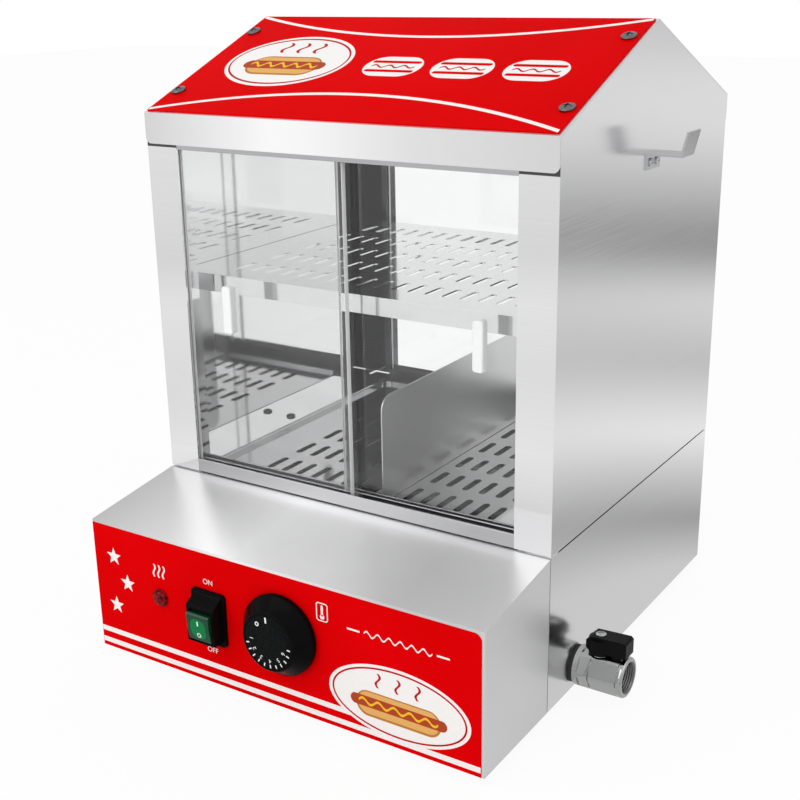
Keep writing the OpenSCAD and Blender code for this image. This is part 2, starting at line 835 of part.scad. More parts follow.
// Side wall with its folded posts, floor flange and roof flange, drawn on the right
module side_panel() {
    wall_in = half_w - sheet;
    post_h = roof_under(ledge_d) - z_deck;
    translate([half_w - sheet / 2, 0, 0]) along_x(sheet) gable_outline();
    translate([half_w - sheet / 2 - roof_flange / 2, 0, 0]) along_x(roof_flange) roof_flange_outline();
    translate([half_w - band_w + 1, y_track, z_deck])
        cube([band_w - 1 - sheet / 2, 2 * (y_ridge - y_track), sheet]);
    for (rear = [0, 1]) translate([0, rear * 2 * y_ridge, 0]) mirror([0, rear, 0]) {
        translate([half_open, ledge_d, z_deck]) cube([post_w - sheet / 2, sheet, post_h]);
        translate([half_open, ledge_d, z_deck]) cube([sheet, track_d, post_h]);
    }
}

module gable_outline() {
    polygon([
        [ledge_d, z_deck],
        [ledge_d, roof_under(ledge_d)],
        [y_ridge, roof_under(y_ridge)],
        [body_d, roof_under(ledge_d)],
        [body_d, z_deck]
    ]);
}

module roof_flange_outline() {
    y1 = ledge_d + sheet / 2;
    y2 = body_d - sheet / 2;
    polygon([
        [y1, roof_under(y1)],
        [y_ridge, roof_under(y_ridge)],
        [y2, roof_under(y1)],
        [y2, roof_under(y1) - roof_tv],
        [y_ridge, roof_under(y_ridge) - roof_tv],
        [y1, roof_under(y1) - roof_tv]
    ]);
}

module side_panel_holes() {
    at_roof_screws() cylinder(h = 8 * sheet, d = roof_screw_d + hole_play, center = true);
    front_to_rear() at_roof_screws() cylinder(h = 8 * sheet, d = roof_screw_d + hole_play, center = true);
    translate([0, 0, z_deck - 1]) at_deck_screws() cylinder(h = sheet + 2, d = screw_d + hole_play);
}

module side_panel_left() {
    placed() color("#c9cbcc") difference() {
        mirror([1, 0, 0]) side_panel();
        side_panel_holes();
    }
}

module side_panel_right() {
    placed() color("#c9cbcc") difference() {
        side_panel();
        side_panel_holes();
        at_hook_screws() cylinder(h = 4 * sheet, d = hook_screw_d + hole_play, center = true);
    }
}

module roof_shell() {
    placed() color("#d9dbdc") difference() {
        union() {
            along_x(body_w) polygon([
                [y_eave, z_eave],
                [y_ridge, z_ridge],
                [2 * y_ridge - y_eave, z_eave],
                [2 * y_ridge - y_eave, z_eave - roof_tv],
                [y_ridge, z_ridge - roof_tv],
                [y_eave, z_eave - roof_tv]
            ]);
            fascia();
            front_to_rear() fascia();
        }
        at_roof_screws() cylinder(h = 6 * sheet, d = roof_screw_d + hole_play, center = true);
        front_to_rear() at_roof_screws() cylinder(h = 6 * sheet, d = roof_screw_d + hole_play, center = true);
    }
}

module fascia() {
    along_y(y_eave, sheet) {
        translate([-half_w, z_fascia + fascia_r]) square([body_w, fascia_h - fascia_r - roof_tv / 2]);
        translate([-half_w + fascia_r, z_fascia]) square([body_w - 2 * fascia_r, fascia_r]);
        for (side = [-1, 1])
            translate([side * (half_w - fascia_r), z_fascia + fascia_r]) circle(r = fascia_r);
    }
}

module sign_panel() {
    placed() color("#d3121a") difference() {
        on_front_slope(0, 0) linear_extrude(height = sign_t)
            translate([-half_w + sign_edge, sign_edge])
                round_rect(body_w - 2 * sign_edge, slope_l - 2 * sign_edge, 1);
        at_roof_screws() cylinder(h = 4 * sign_t, d = roof_screw_d + hole_play, center = true);
    }
}

module roof_screws() {
    placed() color("#8d8f92") {
        at_roof_screws() translate([0, 0, sign_t])
            pan_screw(roof_screw_d, sign_t + 2 * sheet + roof_screw_d, roof_head, roof_head_h);
        front_to_rear() at_roof_screws()
            pan_screw(roof_screw_d, 2 * sheet + roof_screw_d, roof_head, roof_head_h);
    }
}

module roof_nuts() {
    placed() color("#8d8f92") {
        at_roof_screws() roof_nut();
        front_to_rear() at_roof_screws() roof_nut();
    }
}

module roof_nut() {
    nut_t = 0.8 * roof_screw_d;
    translate([0, 0, -2 * sheet - nut_t]) hex_nut(roof_screw_d, 1.6 * roof_screw_d, nut_t);
}

// Screws that hold the cabinet and the tank rim down on the base
module deck_screws() {
    placed() color("#6f7174") translate([0, 0, z_band]) at_deck_screws()
        pan_screw(screw_d, 3 * sheet + screw_d, screw_head, screw_head_h);
}

// Tracks and doors

// Section of a track in Y and Z, with its two grooves open upwards
module track_section(h) {
    difference() {
        translate([ledge_d, 0]) square([track_d, h]);
        for (i = [0, 1])
            translate([ledge_d + track_wall + i * (groove + track_wall), sill_floor]) square([groove, h]);
    }
}

module sill_track() {
    translate([0, 0, z_deck]) along_x(open_w) track_section(sill_h);
}

module head_track() {
    translate([0, 0, z_head + head_h]) mirror([0, 0, 1]) along_x(open_w) track_section(head_h);
}

module front_sill_track() {
    placed() color("#b4b7b9") sill_track();
}

module front_head_track() {
    placed() color("#b4b7b9") head_track();
}

module rear_sill_track() {
    placed() color("#b4b7b9") front_to_rear() sill_track();
}

module rear_head_track() {
    placed() color("#b4b7b9") front_to_rear() head_track();
}

// Pane on the right, its outer face at y
module pane(y) {
    along_y(y, glass_t) translate([door_x, z_glass]) round_rect(door_w, glass_h, glass_r);
}

// Handle whose middle is at x and at a height above the deck, on a face at y
module door_handle(x, up, y) {
    along_y(y - handle_t, handle_t)
        translate([x - handle_w / 2, z_deck + up - handle_h / 2])
            round_rect(handle_w, handle_h, 2);
}

module front_door_left_glass() {
    placed() color("#bfe0dc", 0.35) mirror([1, 0, 0]) pane(y_glass_out);
}

module front_door_left_handle() {
    placed() color("#e6eef0", 0.6)
        door_handle(handle_in_left - half_open, handle_up, y_glass_out);
}

module front_door_right_glass() {
    placed() color("#bfe0dc", 0.35) pane(y_glass_in);
}

module front_door_right_handle() {
    placed() color("#e6eef0", 0.6)
        door_handle(half_open - handle_in_right, handle_up, y_glass_in);
}

module rear_door_left_glass() {
    placed() color("#bfe0dc", 0.35) front_to_rear() mirror([1, 0, 0]) pane(y_glass_in);
}

module rear_door_left_handle() {
    placed() color("#e6eef0", 0.6) front_to_rear()
        door_handle(handle_in_right - half_open, rear_handle_up, y_glass_in);
}

module rear_door_right_glass() {
    placed() color("#bfe0dc", 0.35) front_to_rear() pane(y_glass_out);
}

module rear_door_right_handle() {
    placed() color("#e6eef0", 0.6) front_to_rear()
        door_handle(half_open - handle_in_left, rear_handle_up, y_glass_out);
}

// Tong hook, one bent strip drawn in X and Z

module tong_hook() {
    placed() color("#b9bbbd") difference() {
        translate([half_w, 0, z_deck + hook_up]) along_y(hook_y, hook_w) {
            translate([0, -hook_flange]) square([hook_t, hook_flange + hook_t]);
            square([hook_out, hook_t]);
            translate([hook_out - hook_t, 0]) rotate(-hook_lean) square([hook_t, hook_lip]);
            translate([hook_out - hook_t / 2, hook_t / 2]) circle(d = hook_t);
        }
        at_hook_screws() cylinder(h = 4 * hook_t, d = hook_screw_d + hole_play, center = true);
    }
}

module hook_screws() {
    placed() color("#8d8f92") at_hook_screws() translate([0, 0, hook_t])
        pan_screw(hook_screw_d, hook_t + sheet + screw_d, hook_head, hook_head_h);
}

// Thermostat

module thermostat_knob() {
    placed() color("#1b1c1e") translate([knob_x, 0, z_knob]) rotate([90, 0, 0])
        rotate_extrude($fn = 96) knob_section();
}

// Radius across, distance out of the panel upwards
module knob_section() {
    hub = shaft_d / 2 + knob_wall;
    face_r = knob_face_d / 2;
    skirt_r = knob_d / 2;
    back = label_t + knob_gap;
    skirt_t = 3.5;
    floor_in = knob_out - knob_wall;
    polygon([
        [shaft_d / 2, back + 1],
        [hub, back + 1],
        [hub, floor_in],
        [face_r - knob_wall, floor_in],
        [skirt_r - knob_wall, back + skirt_t - 1],
        [skirt_r - knob_wall, back],
        [skirt_r - 0.6, back],
        [skirt_r, back + 0.6],
        [skirt_r, back + skirt_t],
        [skirt_r - 1, back + skirt_t + 1],
        [face_r + 1.2, knob_out - 1.5],
        [face_r, knob_out - 0.4],
        [face_r - 0.8, knob_out],
        [0, knob_out],
        [0, floor_in],
        [shaft_d / 2, floor_in]
    ]);
}

module thermostat_shaft() {
    placed() color("#c8c9cb") translate([knob_x, y_stat / 2 - end_gap, z_knob]) rotate([90, 0, 0])
        cylinder(h = y_stat / 2 - end_gap + knob_out - knob_wall, d = shaft_d);
}

module thermostat_case() {
    placed() color("#d8d4c8") difference() {
        translate([knob_x - stat_w / 2, sheet, z_knob - stat_h / 2]) cube([stat_w, stat_d, stat_h]);
        translate([knob_x, y_stat / 2, z_knob]) rotate([90, 0, 0])
            cylinder(h = y_stat, d = shaft_d + 2 * fit_gap);
        translate([0, sheet, 0]) at_stat_screws()
            cylinder(h = 4 * screw_d, d = screw_d, center = true);
    }
}

module thermostat_screws() {
    placed() color("#8d8f92") at_stat_screws()
        pan_screw(screw_d, sheet + 2 * screw_d, screw_head, screw_head_h);
}

// Bulb in the tank, its gland nut and the capillary back to the thermostat
module thermostat_bulb() {
    gland_t = 5;
    bulb_start = y_tank - sheet - gland_t;
    placed() color("#b87333") {
        translate([x_bulb, y_tank + bulb_l, z_element]) rotate([90, 0, 0])
            cylinder(h = bulb_l + sheet + gland_t, d = bulb_d);
        translate([x_bulb, y_tank - sheet, z_element]) rotate([90, 0, 0])
            cylinder(h = gland_t, d = 2 * bulb_d, $fn = 6);
        rod([x_bulb, bulb_start + 1, z_element], [x_bulb, y_stat, z_knob], capillary_d / 2);
    }
}

// Rocker switch under its splash hood

module switch_housing() {
    placed() color("#17181a") difference() {
        union() {
            along_y(-label_t - flange_t, flange_t) translate([-switch_x, z_switch])
                centred_rect(switch_w, switch_h, 3);
            translate([-switch_x, 0, z_switch]) along_x(rocker_w + 4) hood_outline();
            along_y(-label_t, label_t + switch_depth) translate([-switch_x, z_switch])
                square([body_cut_w - hole_play, body_cut_h - hole_play], center = true);
        }
        along_y(-label_t - switch_out - 1, switch_out - 0.5) translate([-switch_x, z_pivot])
            centred_rect(rocker_w + 0.8, rocker_h + 2, 1);
        rocker_pin(rocker_w / 2 + 1.3, pin_r + fit_gap);
    }
}

// Side of the raised hood in Y and Z: its top slopes down from the frame to the rocker
module hood_outline() {
    root = -label_t - flange_t / 2;
    front = -label_t - switch_out + 1.6;
    low = -rocker_low - rocker_h / 2 - 2.4;
    high = rocker_h / 2 - rocker_low + 3;
    polygon([
        [root, low],
        [front, low + 0.5],
        [front, high],
        [front + 1.5, high + 1.4],
        [-label_t - flange_t - 1.5, switch_h / 2 - 3.5],
        [-label_t - flange_t, switch_h / 2 - 2],
        [root, switch_h / 2 - 2]
    ]);
}

module rocker_pin(reach, r) {
    translate([-switch_x - reach, y_pivot, z_pivot]) rotate([0, 90, 0]) cylinder(h = 2 * reach, r = r);
}

module switch_rocker() {
    face_y = 5.9 - switch_out;
    placed() color("#0d7a3a") {
        translate([-switch_x, y_pivot, z_pivot]) rotate([rocker_tilt, 0, 0]) along_x(rocker_w) polygon([
            [face_y - 0.5, 0],
            [face_y, rocker_h / 2 - 1],
            [face_y + 1.2, rocker_h / 2],
            [1, rocker_h / 2 - 1.5],
            [2.6, 0],
            [1, 1.5 - rocker_h / 2],
            [face_y + 1.2, -rocker_h / 2],
            [face_y, 1 - rocker_h / 2]
        ]);
        rocker_pin(rocker_w / 2 + 1.1, pin_r);
    }
}

module switch_tabs() {
    placed() color("#c9a24a") for (x = [-5, 5], z = [-7, 7])
        translate([-switch_x + x - tab_t / 2, switch_depth, z_switch + z - tab_w / 2])
            cube([tab_t, tab_l, tab_w]);
}

// Pilot lamp

module pilot_lens() {
    lens_r = lamp_d / 2;
    dome_r = (pow(lens_r - 0.8, 2) + pow(lamp_out - 1.2, 2)) / (2 * (lamp_out - 1.2));
    placed() color("#8c1015") translate([-lamp_x, -label_t, z_lamp]) rotate([90, 0, 0]) {
        cylinder(h = 1.2, r = lens_r);
        translate([0, 0, 1.2]) intersection() {
            cylinder(h = lamp_out - 1.2, r = lens_r - 0.8);
            translate([0, 0, lamp_out - 1.2 - dome_r]) sphere(r = dome_r);
        }
    }
}

module pilot_body() {
    placed() color("#232427") translate([-lamp_x, 0, z_lamp]) {
        translate([0, lamp_depth, 0]) rotate([90, 0, 0])
            cylinder(h = lamp_depth + label_t, d = lamp_d - 2.4);
        for (x = [-2.4, 2.4])
            translate([x - tab_t / 2, lamp_depth, -2.4]) cube([tab_t, tab_l, 4.8]);
    }
}

// Heating element, a hairpin with its legs through the tank's front wall

module heating_element() {
    placed() color("#5c5f63") {
        for (side = [-1, 1])
            translate([side * element_r, y_element, z_element]) rotate([90, 0, 0])
                cylinder(h = y_element - y_tail, d = element_d);
        translate([0, y_element, z_element]) rotate_extrude(angle = 180)
            translate([element_r, 0]) circle(d = element_d);
        element_pins();
    }
}

module element_pins() {
    for (side = [-1, 1])
        translate([side * element_r, y_tail, z_element]) rotate([90, 0, 0])
            cylinder(h = pin_l, d = pin_d);
}

module element_nuts() {
    placed() color("#b08d3c") at_element_legs() translate([0, 0, sheet / 2 + element_seal_t])
        hex_nut(element_d, 2 * element_d + 2, element_nut_t);
}

module element_gaskets() {
    placed() color("#a53a2a") at_element_legs() translate([0, 0, sheet / 2]) difference() {
        cylinder(h = element_seal_t, d = 2 * element_d + 2);
        translate([0, 0, -1]) cylinder(h = element_seal_t + 2, d = element_d);
    }
}

// Drain line and ball valve along X

module at_drain(x) {
    translate([x, drain_y, z_drain]) rotate([0, 90, 0]) children();
}

module drain_pipe() {
    placed() color("#b9bbbd") difference() {
        drain_run(pipe_d, 0);
        drain_run(pipe_bore, 1);
    }
}

module drain_run(d, over) {
    translate([drain_x, drain_y, z_drain + elbow_r]) cylinder(h = z_tank - sheet - z_drain - elbow_r + over, d = d);
    translate([drain_x + elbow_r, drain_y, z_drain + elbow_r]) rotate([90, 0, 0]) rotate([0, 0, 180])
        rotate_extrude(angle = 90) translate([elbow_r, 0]) circle(d = d);
    at_drain(drain_x + elbow_r) cylinder(h = x_seat_in - drain_x - elbow_r + over, d = d);
}

module drain_gasket() {
    placed() color("#2b2c2e") at_drain(half_w) difference() {
        cylinder(h = gasket_t, d = pipe_d + 4);
        translate([0, 0, -1]) cylinder(h = gasket_t + 2, d = pipe_d);
    }
}

module valve_hex(l) {
    intersection() {
        rotate(30) cylinder(h = l, d = valve_af / cos(30), $fn = 6);
        cylinder(h = l, r = ring_r);
    }
}

module valve_body() {
    placed() color("#d5d7d9") difference() {
        union() {
            at_drain(x_valve) valve_ring();
            at_drain(x_valve + valve_ring_l) valve_hex(x_joint - x_valve - valve_ring_l);
            translate([x_stem, drain_y, z_drain]) cylinder(h = boss_up, d = stem_d + 6);
        }
        at_drain(x_valve + valve_groove_in) valve_groove();
        at_drain(x_valve - 1) cylinder(h = socket_l + 1, d = pipe_d);
        at_drain(x_seat_in) cylinder(h = x_seat_out - x_seat_in, r = chamber_r);
        at_drain(x_seat_out) cylinder(h = valve_l, r = insert_r);
        translate([x_stem, drain_y, z_drain]) cylinder(h = boss_up + 1, d = stem_d + 2 * fit_gap);
    }
}

// End ring with a chamfered outer edge
module valve_ring() {
    rotate_extrude() polygon([
        [0, 0], [ring_r - 0.8, 0], [ring_r, 0.8], [ring_r, valve_ring_l], [0, valve_ring_l]
    ]);
}

// Turned groove between the inlet's hexagon and the body's, left out under the lever's hub
module valve_groove() {
    difference() {
        cylinder(h = 1.2, r = ring_r + 1);
        translate([0, 0, -1]) cylinder(h = 4, r = valve_af / 2 - 0.5);
        translate([-2 * ring_r, -hub_r, -1]) cube([1.3 * ring_r, 2 * hub_r, 4]);
    }
}

// Outlet piece, screwed into the body against the seat
module valve_end() {
    placed() color("#d5d7d9") difference() {
        union() {
            at_drain(x_seat_out) cylinder(h = x_joint - x_seat_out, r = insert_r);
            translate([x_valve_end, drain_y, z_drain]) rotate([0, -90, 0]) valve_ring();
        }
        at_drain(x_seat_out - 1) cylinder(h = valve_l, d = port_d);
        at_drain(x_valve_end - outlet_l) cylinder(h = outlet_l + 1, r = outlet_r);
    }
}

module valve_seats() {
    placed() color("#f2f2ee") difference() {
        for (x = [x_seat_in, x_seat_out - seat_t]) at_drain(x) difference() {
            cylinder(h = seat_t, r = chamber_r);
            translate([0, 0, -1]) cylinder(h = seat_t + 2, d = port_d);
        }
        translate([x_stem, drain_y, z_drain]) sphere(r = ball_r + fit_gap);
    }
}

module valve_ball() {
    placed() color("#dfe1e3") difference() {
        translate([x_stem, drain_y, z_drain]) sphere(r = ball_r);
        at_drain(x_stem - ball_r) cylinder(h = ball_d, d = port_d);
        stem_tang();
    }
}

// Flat tang that turns the ball
module stem_tang() {
    translate([x_stem - stem_d / 2 + 0.6, drain_y - 1, z_drain + port_d / 2 - 1])
        cube([stem_d - 1.2, 2, ball_r]);
}

module valve_stem() {
    shoulder = ball_r + 0.5;
    placed() color("#c8cacc") {
        translate([x_stem, drain_y, z_drain + shoulder])
            cylinder(h = lever_top - recess_t - shoulder, d = stem_d);
        intersection() {
            stem_tang();
            translate([x_stem, drain_y, z_drain + port_d / 2 + 0.4])
                cylinder(h = shoulder - port_d / 2 - 0.4, d = stem_d);
        }
    }
}

module valve_lever() {
    hub_low = boss_up + 0.4;
    placed() color("#141516") translate([x_stem, drain_y, z_drain]) difference() {
        union() {
            translate([0, 0, hub_low]) cylinder(h = lever_top - hub_low - 3, r = hub_r);
            along_y(-lever_w / 2, lever_w) polygon([
                [-lever_back, lever_low + 2],
                [-lever_back + 2, lever_low],
                [lever_reach, lever_low],
                [lever_reach, lever_top - 1.5],
                [lever_reach - 1.5, lever_top],
                [-lever_back + 3, lever_top - 1],
                [-lever_back, lever_top - 4]
            ]);
        }
        cylinder(h = lever_top - recess_t, d = stem_d);
        translate([0, 0, lever_top - recess_t]) cylinder(h = recess_t + 1, d = 7.2);
    }
}

module lever_screw() {
    placed() color("#d9dbdd") translate([x_stem, drain_y, z_drain + lever_top - recess_t]) rotate([0, 0, 20])
        pan_head(6.8, 2);
}

// Cable gland in the rear wall

module at_gland(y) {
    translate([x_gland, y, z_base + gland_z]) rotate([-90, 0, 0]) children();
}

module cord_gland() {
    nut_l = 3;
    placed() color("#1e1f21") difference() {
        union() {
            at_gland(body_d) cylinder(h = nut_l, d = gland_d + 8, $fn = 6);
            at_gland(body_d + nut_l) cylinder(h = gland_out - nut_l - 4, d = gland_d + 3);
            at_gland(body_d + gland_out - 4) cylinder(h = 4, d1 = gland_d + 3, d2 = gland_d - 3);
            at_gland(body_d - gland_thread) cylinder(h = gland_thread, d = gland_d);
        }
        at_gland(body_d - gland_thread - 1)
            cylinder(h = gland_out + gland_thread + 2, d = gland_bore);
    }
}

module gland_nut() {
    placed() color("#1e1f21") at_gland(body_d - sheet - gland_nut_t)
        hex_nut(gland_d, gland_d + 6, gland_nut_t);
}

// Terminal block and the wires between the electrical parts

module terminal_block() {
    placed() color("#e9e6da") translate([block_at[0], block_at[1], z_base + sheet]) difference() {
        translate([-block[0] / 2, -block[1] / 2, 0]) cube(block);
        for (i = [-1 : 1]) translate([i * block_step, -block_y, block[2] / 2])
            cylinder(h = block[2], d = screw_d + 1);
    }
}

// Straight runs from terminal to terminal, through the window of the bulkhead
module wire_runs() {
    y_tab = switch_depth + tab_l;
    y_pins = y_tail - pin_l;
    z_block = z_base + sheet + block[2];
    y_block = block_at[1] + block_y;
    x_live = block_at[0] - block_step;
    x_return = block_at[0] + block_step;
    rod([x_live, y_block, z_block], [-switch_x - 5, y_tab, z_switch - 7], wire_r);
    rod([-switch_x + 5, y_tab, z_switch + 7], [knob_x - stat_w / 2, y_stat - 6, z_knob + 6], wire_r);
    rod([knob_x + stat_w / 4, y_stat, z_knob], [element_r, y_pins, z_element], wire_r);
    rod([x_return, y_block, z_block], [-element_r, y_pins, z_element], wire_r);
}

// The runs end flush on the parts that they join
module wiring() {
    color("#b02a20") difference() {
        placed() wire_runs();
        switch_tabs();
        terminal_block();
        thermostat_case();
        placed() element_pins();
    }
}

base_shell();
bottom_plate();
base_screws();
rubber_feet();
foot_nuts();
control_box();
front_label();
water_tank();
lower_tray();
divider();
side_panel_left();
side_panel_right();
roof_shell();
sign_panel();
roof_screws();
roof_nuts();
deck_screws();
front_sill_track();
front_head_track();
rear_sill_track();
rear_head_track();
front_door_left_glass();
front_door_left_handle();
front_door_right_glass();
front_door_right_handle();
rear_door_left_glass();
rear_door_left_handle();
rear_door_right_glass();
rear_door_right_handle();
upper_shelf();
shelf_rails();
tong_hook();
hook_screws();
thermostat_knob();
thermostat_shaft();
thermostat_case();
thermostat_screws();
thermostat_bulb();
switch_housing();
switch_rocker();
switch_tabs();
pilot_lens();
pilot_body();
heating_element();
element_nuts();
element_gaskets();
drain_pipe();
drain_gasket();
valve_body();
valve_end();
valve_seats();
valve_ball();
valve_stem();
valve_lever();
lever_screw();
cord_gland();
gland_nut();
terminal_block();
wiring();
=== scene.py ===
import math

import bmesh
import bpy
from mathutils import Matrix, Vector


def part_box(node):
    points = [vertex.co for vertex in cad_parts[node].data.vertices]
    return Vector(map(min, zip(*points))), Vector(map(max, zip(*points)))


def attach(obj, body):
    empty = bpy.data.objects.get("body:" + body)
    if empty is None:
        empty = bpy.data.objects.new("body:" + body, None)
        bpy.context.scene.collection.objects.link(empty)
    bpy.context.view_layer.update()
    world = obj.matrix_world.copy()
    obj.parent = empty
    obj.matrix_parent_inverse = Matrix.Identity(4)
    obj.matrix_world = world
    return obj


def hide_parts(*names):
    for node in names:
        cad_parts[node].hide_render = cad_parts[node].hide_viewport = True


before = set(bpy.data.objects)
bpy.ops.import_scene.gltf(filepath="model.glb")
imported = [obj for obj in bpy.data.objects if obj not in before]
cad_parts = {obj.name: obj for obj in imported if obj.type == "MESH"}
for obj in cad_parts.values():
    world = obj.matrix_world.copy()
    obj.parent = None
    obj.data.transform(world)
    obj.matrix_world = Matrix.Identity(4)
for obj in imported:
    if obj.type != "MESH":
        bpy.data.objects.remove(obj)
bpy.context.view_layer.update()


# Camera
# It stands to the right of the steamer and just above its roof, and looks
# down on the front and the right side through a slightly long lens.
yaw = math.radians(33.0)
pitch = math.radians(18.6)
roll = math.radians(-0.96)
heading = Vector((-math.sin(yaw), math.cos(yaw), 0))
sideways = Vector((math.cos(yaw), math.sin(yaw), 0))
forward = math.cos(pitch) * heading - math.sin(pitch) * Vector((0, 0, 1))
upright = math.sin(pitch) * heading + math.cos(pitch) * Vector((0, 0, 1))
right = math.cos(roll) * sideways + math.sin(roll) * upright
up = math.cos(roll) * upright - math.sin(roll) * sideways
lens = bpy.data.cameras.new("camera")
lens.sensor_width = 36
lens.lens = 57.1
camera = bpy.data.objects.new("camera", lens)
bpy.context.scene.collection.objects.link(camera)
turned_to = Matrix((right, up, -forward)).transposed().to_4x4()
box_low, box_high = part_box("control_box")
middle_x = (box_low.x + box_high.x) / 2 * 1000
front_y = box_low.y * 1000


def at(x, y, z):
    """A place in mm: x from the middle, y behind the front panel, z above the floor."""
    return Vector((x + middle_x, y + front_y, z)) / 1000


camera.matrix_world = Matrix.Translation(at(448.5, -541.5, 442.5)) @ turned_to
bpy.context.scene.camera = camera


# Base housing
# A shell of satin brushed stainless sheet with folded lower lips, on a loose
# bottom plate. Four rubber feet are held by zinc plated screws and nuts.
def finish(name, colour, metallic=0.0, roughness=0.5):
    made = bpy.data.materials.new(name)
    made.use_nodes = True
    shader = made.node_tree.nodes["Principled BSDF"]
    shader.inputs["Base Color"].default_value = (*colour, 1)
    shader.inputs["Metallic"].default_value = metallic
    shader.inputs["Roughness"].default_value = roughness
    return made


def join(made, start, end):
    made.node_tree.links.new(start, end)


def shader_of(made):
    return made.node_tree.nodes["Principled BSDF"]


def sized_places(made, scale, part="Object"):
    """Places on the part, stretched by scale, for a texture."""
    places = made.node_tree.nodes.new("ShaderNodeTexCoord")
    stretch = made.node_tree.nodes.new("ShaderNodeMapping")
    stretch.inputs["Scale"].default_value = scale
    join(made, places.outputs[part], stretch.inputs["Vector"])
    return stretch.outputs["Vector"]


def cloud(made, places, scale=1.0, detail=3.0):
    tex = made.node_tree.nodes.new("ShaderNodeTexNoise")
    tex.inputs["Scale"].default_value = scale
    tex.inputs["Detail"].default_value = detail
    join(made, places, tex.inputs["Vector"])
    return tex.outputs["Fac"]


def spread(made, value, low, high, start=0.3, end=0.7):
    """Turns a texture's value from start to end into a number from low to high."""
    span = made.node_tree.nodes.new("ShaderNodeMapRange")
    span.inputs["From Min"].default_value = start
    span.inputs["From Max"].default_value = end
    span.inputs["To Min"].default_value = low
    span.inputs["To Max"].default_value = high
    join(made, value, span.inputs["Value"])
    return span.outputs["Result"]


def tones(made, value, stops):
    """Colours at stops along a value."""
    ramp = made.node_tree.nodes.new("ShaderNodeValToRGB")
    while len(ramp.color_ramp.elements) < len(stops):
        ramp.color_ramp.elements.new(0.5)
    for element, (place, colour) in zip(ramp.color_ramp.elements, stops):
        element.position = place
        element.color = (*colour, 1)
    join(made, value, ramp.inputs["Fac"])
    return ramp.outputs["Color"]


def relief(made, value, depth, strength=1.0, under=None):
    bump = made.node_tree.nodes.new("ShaderNodeBump")
    bump.inputs["Distance"].default_value = depth
    bump.inputs["Strength"].default_value = strength
    join(made, value, bump.inputs["Height"])
    if under is not None:
        join(made, under, bump.inputs["Normal"])
    return bump.outputs["Normal"]


def roughened(made, grain, low, high, detail=3.0):
    """Lets the roughness wander from low to high over that many grains a metre."""
    texture = cloud(made, sized_places(made, (grain, grain, grain)), 1.0, detail)
    join(made, spread(made, texture, low, high), shader_of(made).inputs["Roughness"])
    return texture


def coloured(made, value, stops):
    join(made, tones(made, value, stops), shader_of(made).inputs["Base Color"])


def embossed(made, value, depth, strength=1.0, under=None):
    join(made, relief(made, value, depth, strength, under), shader_of(made).inputs["Normal"])


def worked_out(made, operation, *numbers):
    """The result of a sum on sockets or plain numbers."""
    step = made.node_tree.nodes.new("ShaderNodeMath")
    step.operation = operation
    for place, number in zip(step.inputs, numbers):
        if isinstance(number, (int, float)):
            place.default_value = number
        else:
            join(made, number, place)
    return step.outputs[0]


def parted(made, vector):
    """The X, Y and Z of a vector."""
    split = made.node_tree.nodes.new("ShaderNodeSeparateXYZ")
    join(made, vector, split.inputs["Vector"])
    return split.outputs


def way_faced(made):
    look = made.node_tree.nodes.new("ShaderNodeNewGeometry")
    return parted(made, look.outputs["True Normal"])


def between(made, share, first, second):
    blend = made.node_tree.nodes.new("ShaderNodeMix")
    join(made, share, blend.inputs[0])
    join(made, first, blend.inputs[2])
    join(made, second, blend.inputs[3])
    return blend.outputs[0]


def facing_up(made):
    """1 on faces that look up or down, 0 on upright ones."""
    return spread(made, worked_out(made, "ABSOLUTE", way_faced(made)["Z"]), 0, 1, 0.45, 0.55)


def brushed(name, colour, roughness, streaks=0.03, waves=0.0003):
    """Sheet with its grain along X on flat faces, and level on upright ones."""
    made = finish(name, colour, 1.0, roughness)
    flat = facing_up(made)
    fine_flat = cloud(made, sized_places(made, (18, 2600, 60)), 1.0, 2.0)
    fine_wall = cloud(made, sized_places(made, (18, 18, 2600)), 1.0, 2.0)
    fine = between(made, flat, fine_wall, fine_flat)
    low = roughness - streaks
    high = roughness + streaks
    join(made, spread(made, fine, low, high), shader_of(made).inputs["Roughness"])
    dull = tuple(c * 0.975 for c in colour)
    coloured(made, fine, ((0.3, dull), (0.7, colour)))
    slow = cloud(made, sized_places(made, (5, 5, 5)), 1.0, 1.0)
    bent = relief(made, slow, waves)
    embossed(made, fine, 0.00001, 0.35, bent)
    return made


def dress(made, *nodes):
    for name in nodes:
        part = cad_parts[name]
        if not part.material_slots:
            part.data.materials.append(made)
        for place in part.material_slots:
            place.material = made


def soften(width, *nodes, steps=2, angle=32):
    """Breaks the sharp edges of CAD parts by a width in mm."""
    for name in nodes:
        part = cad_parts[name]
        weld = part.modifiers.new("weld", "WELD")
        weld.merge_threshold = 1e-6
        flat = part.modifiers.new("flat", "DECIMATE")
        flat.decimate_type = "DISSOLVE"
        flat.angle_limit = math.radians(0.5)
        edge = part.modifiers.new("edge", "BEVEL")
        edge.width = width / 1000
        edge.segments = steps
        edge.limit_method = "ANGLE"
        edge.angle_limit = math.radians(angle)
        part.modifiers.new("light", "WEIGHTED_NORMAL")


outer_steel = brushed("outer_steel", (0.82, 0.82, 0.825), 0.2)
plain_steel = brushed("plain_steel", (0.62, 0.62, 0.63), 0.3)
dress(outer_steel, "base_shell")
dress(plain_steel, "bottom_plate")
soften(0.4, "base_shell", "bottom_plate")

zinc = finish("zinc_plating", (0.62, 0.63, 0.65), 1.0, 0.3)
blotches = roughened(zinc, 260, 0.22, 0.42)
bluish = ((0.3, (0.52, 0.54, 0.58)), (0.7, (0.68, 0.68, 0.67)))
coloured(zinc, blotches, bluish)
dress(zinc, "base_screws", "foot_nuts")
soften(0.15, "base_screws", "foot_nuts")

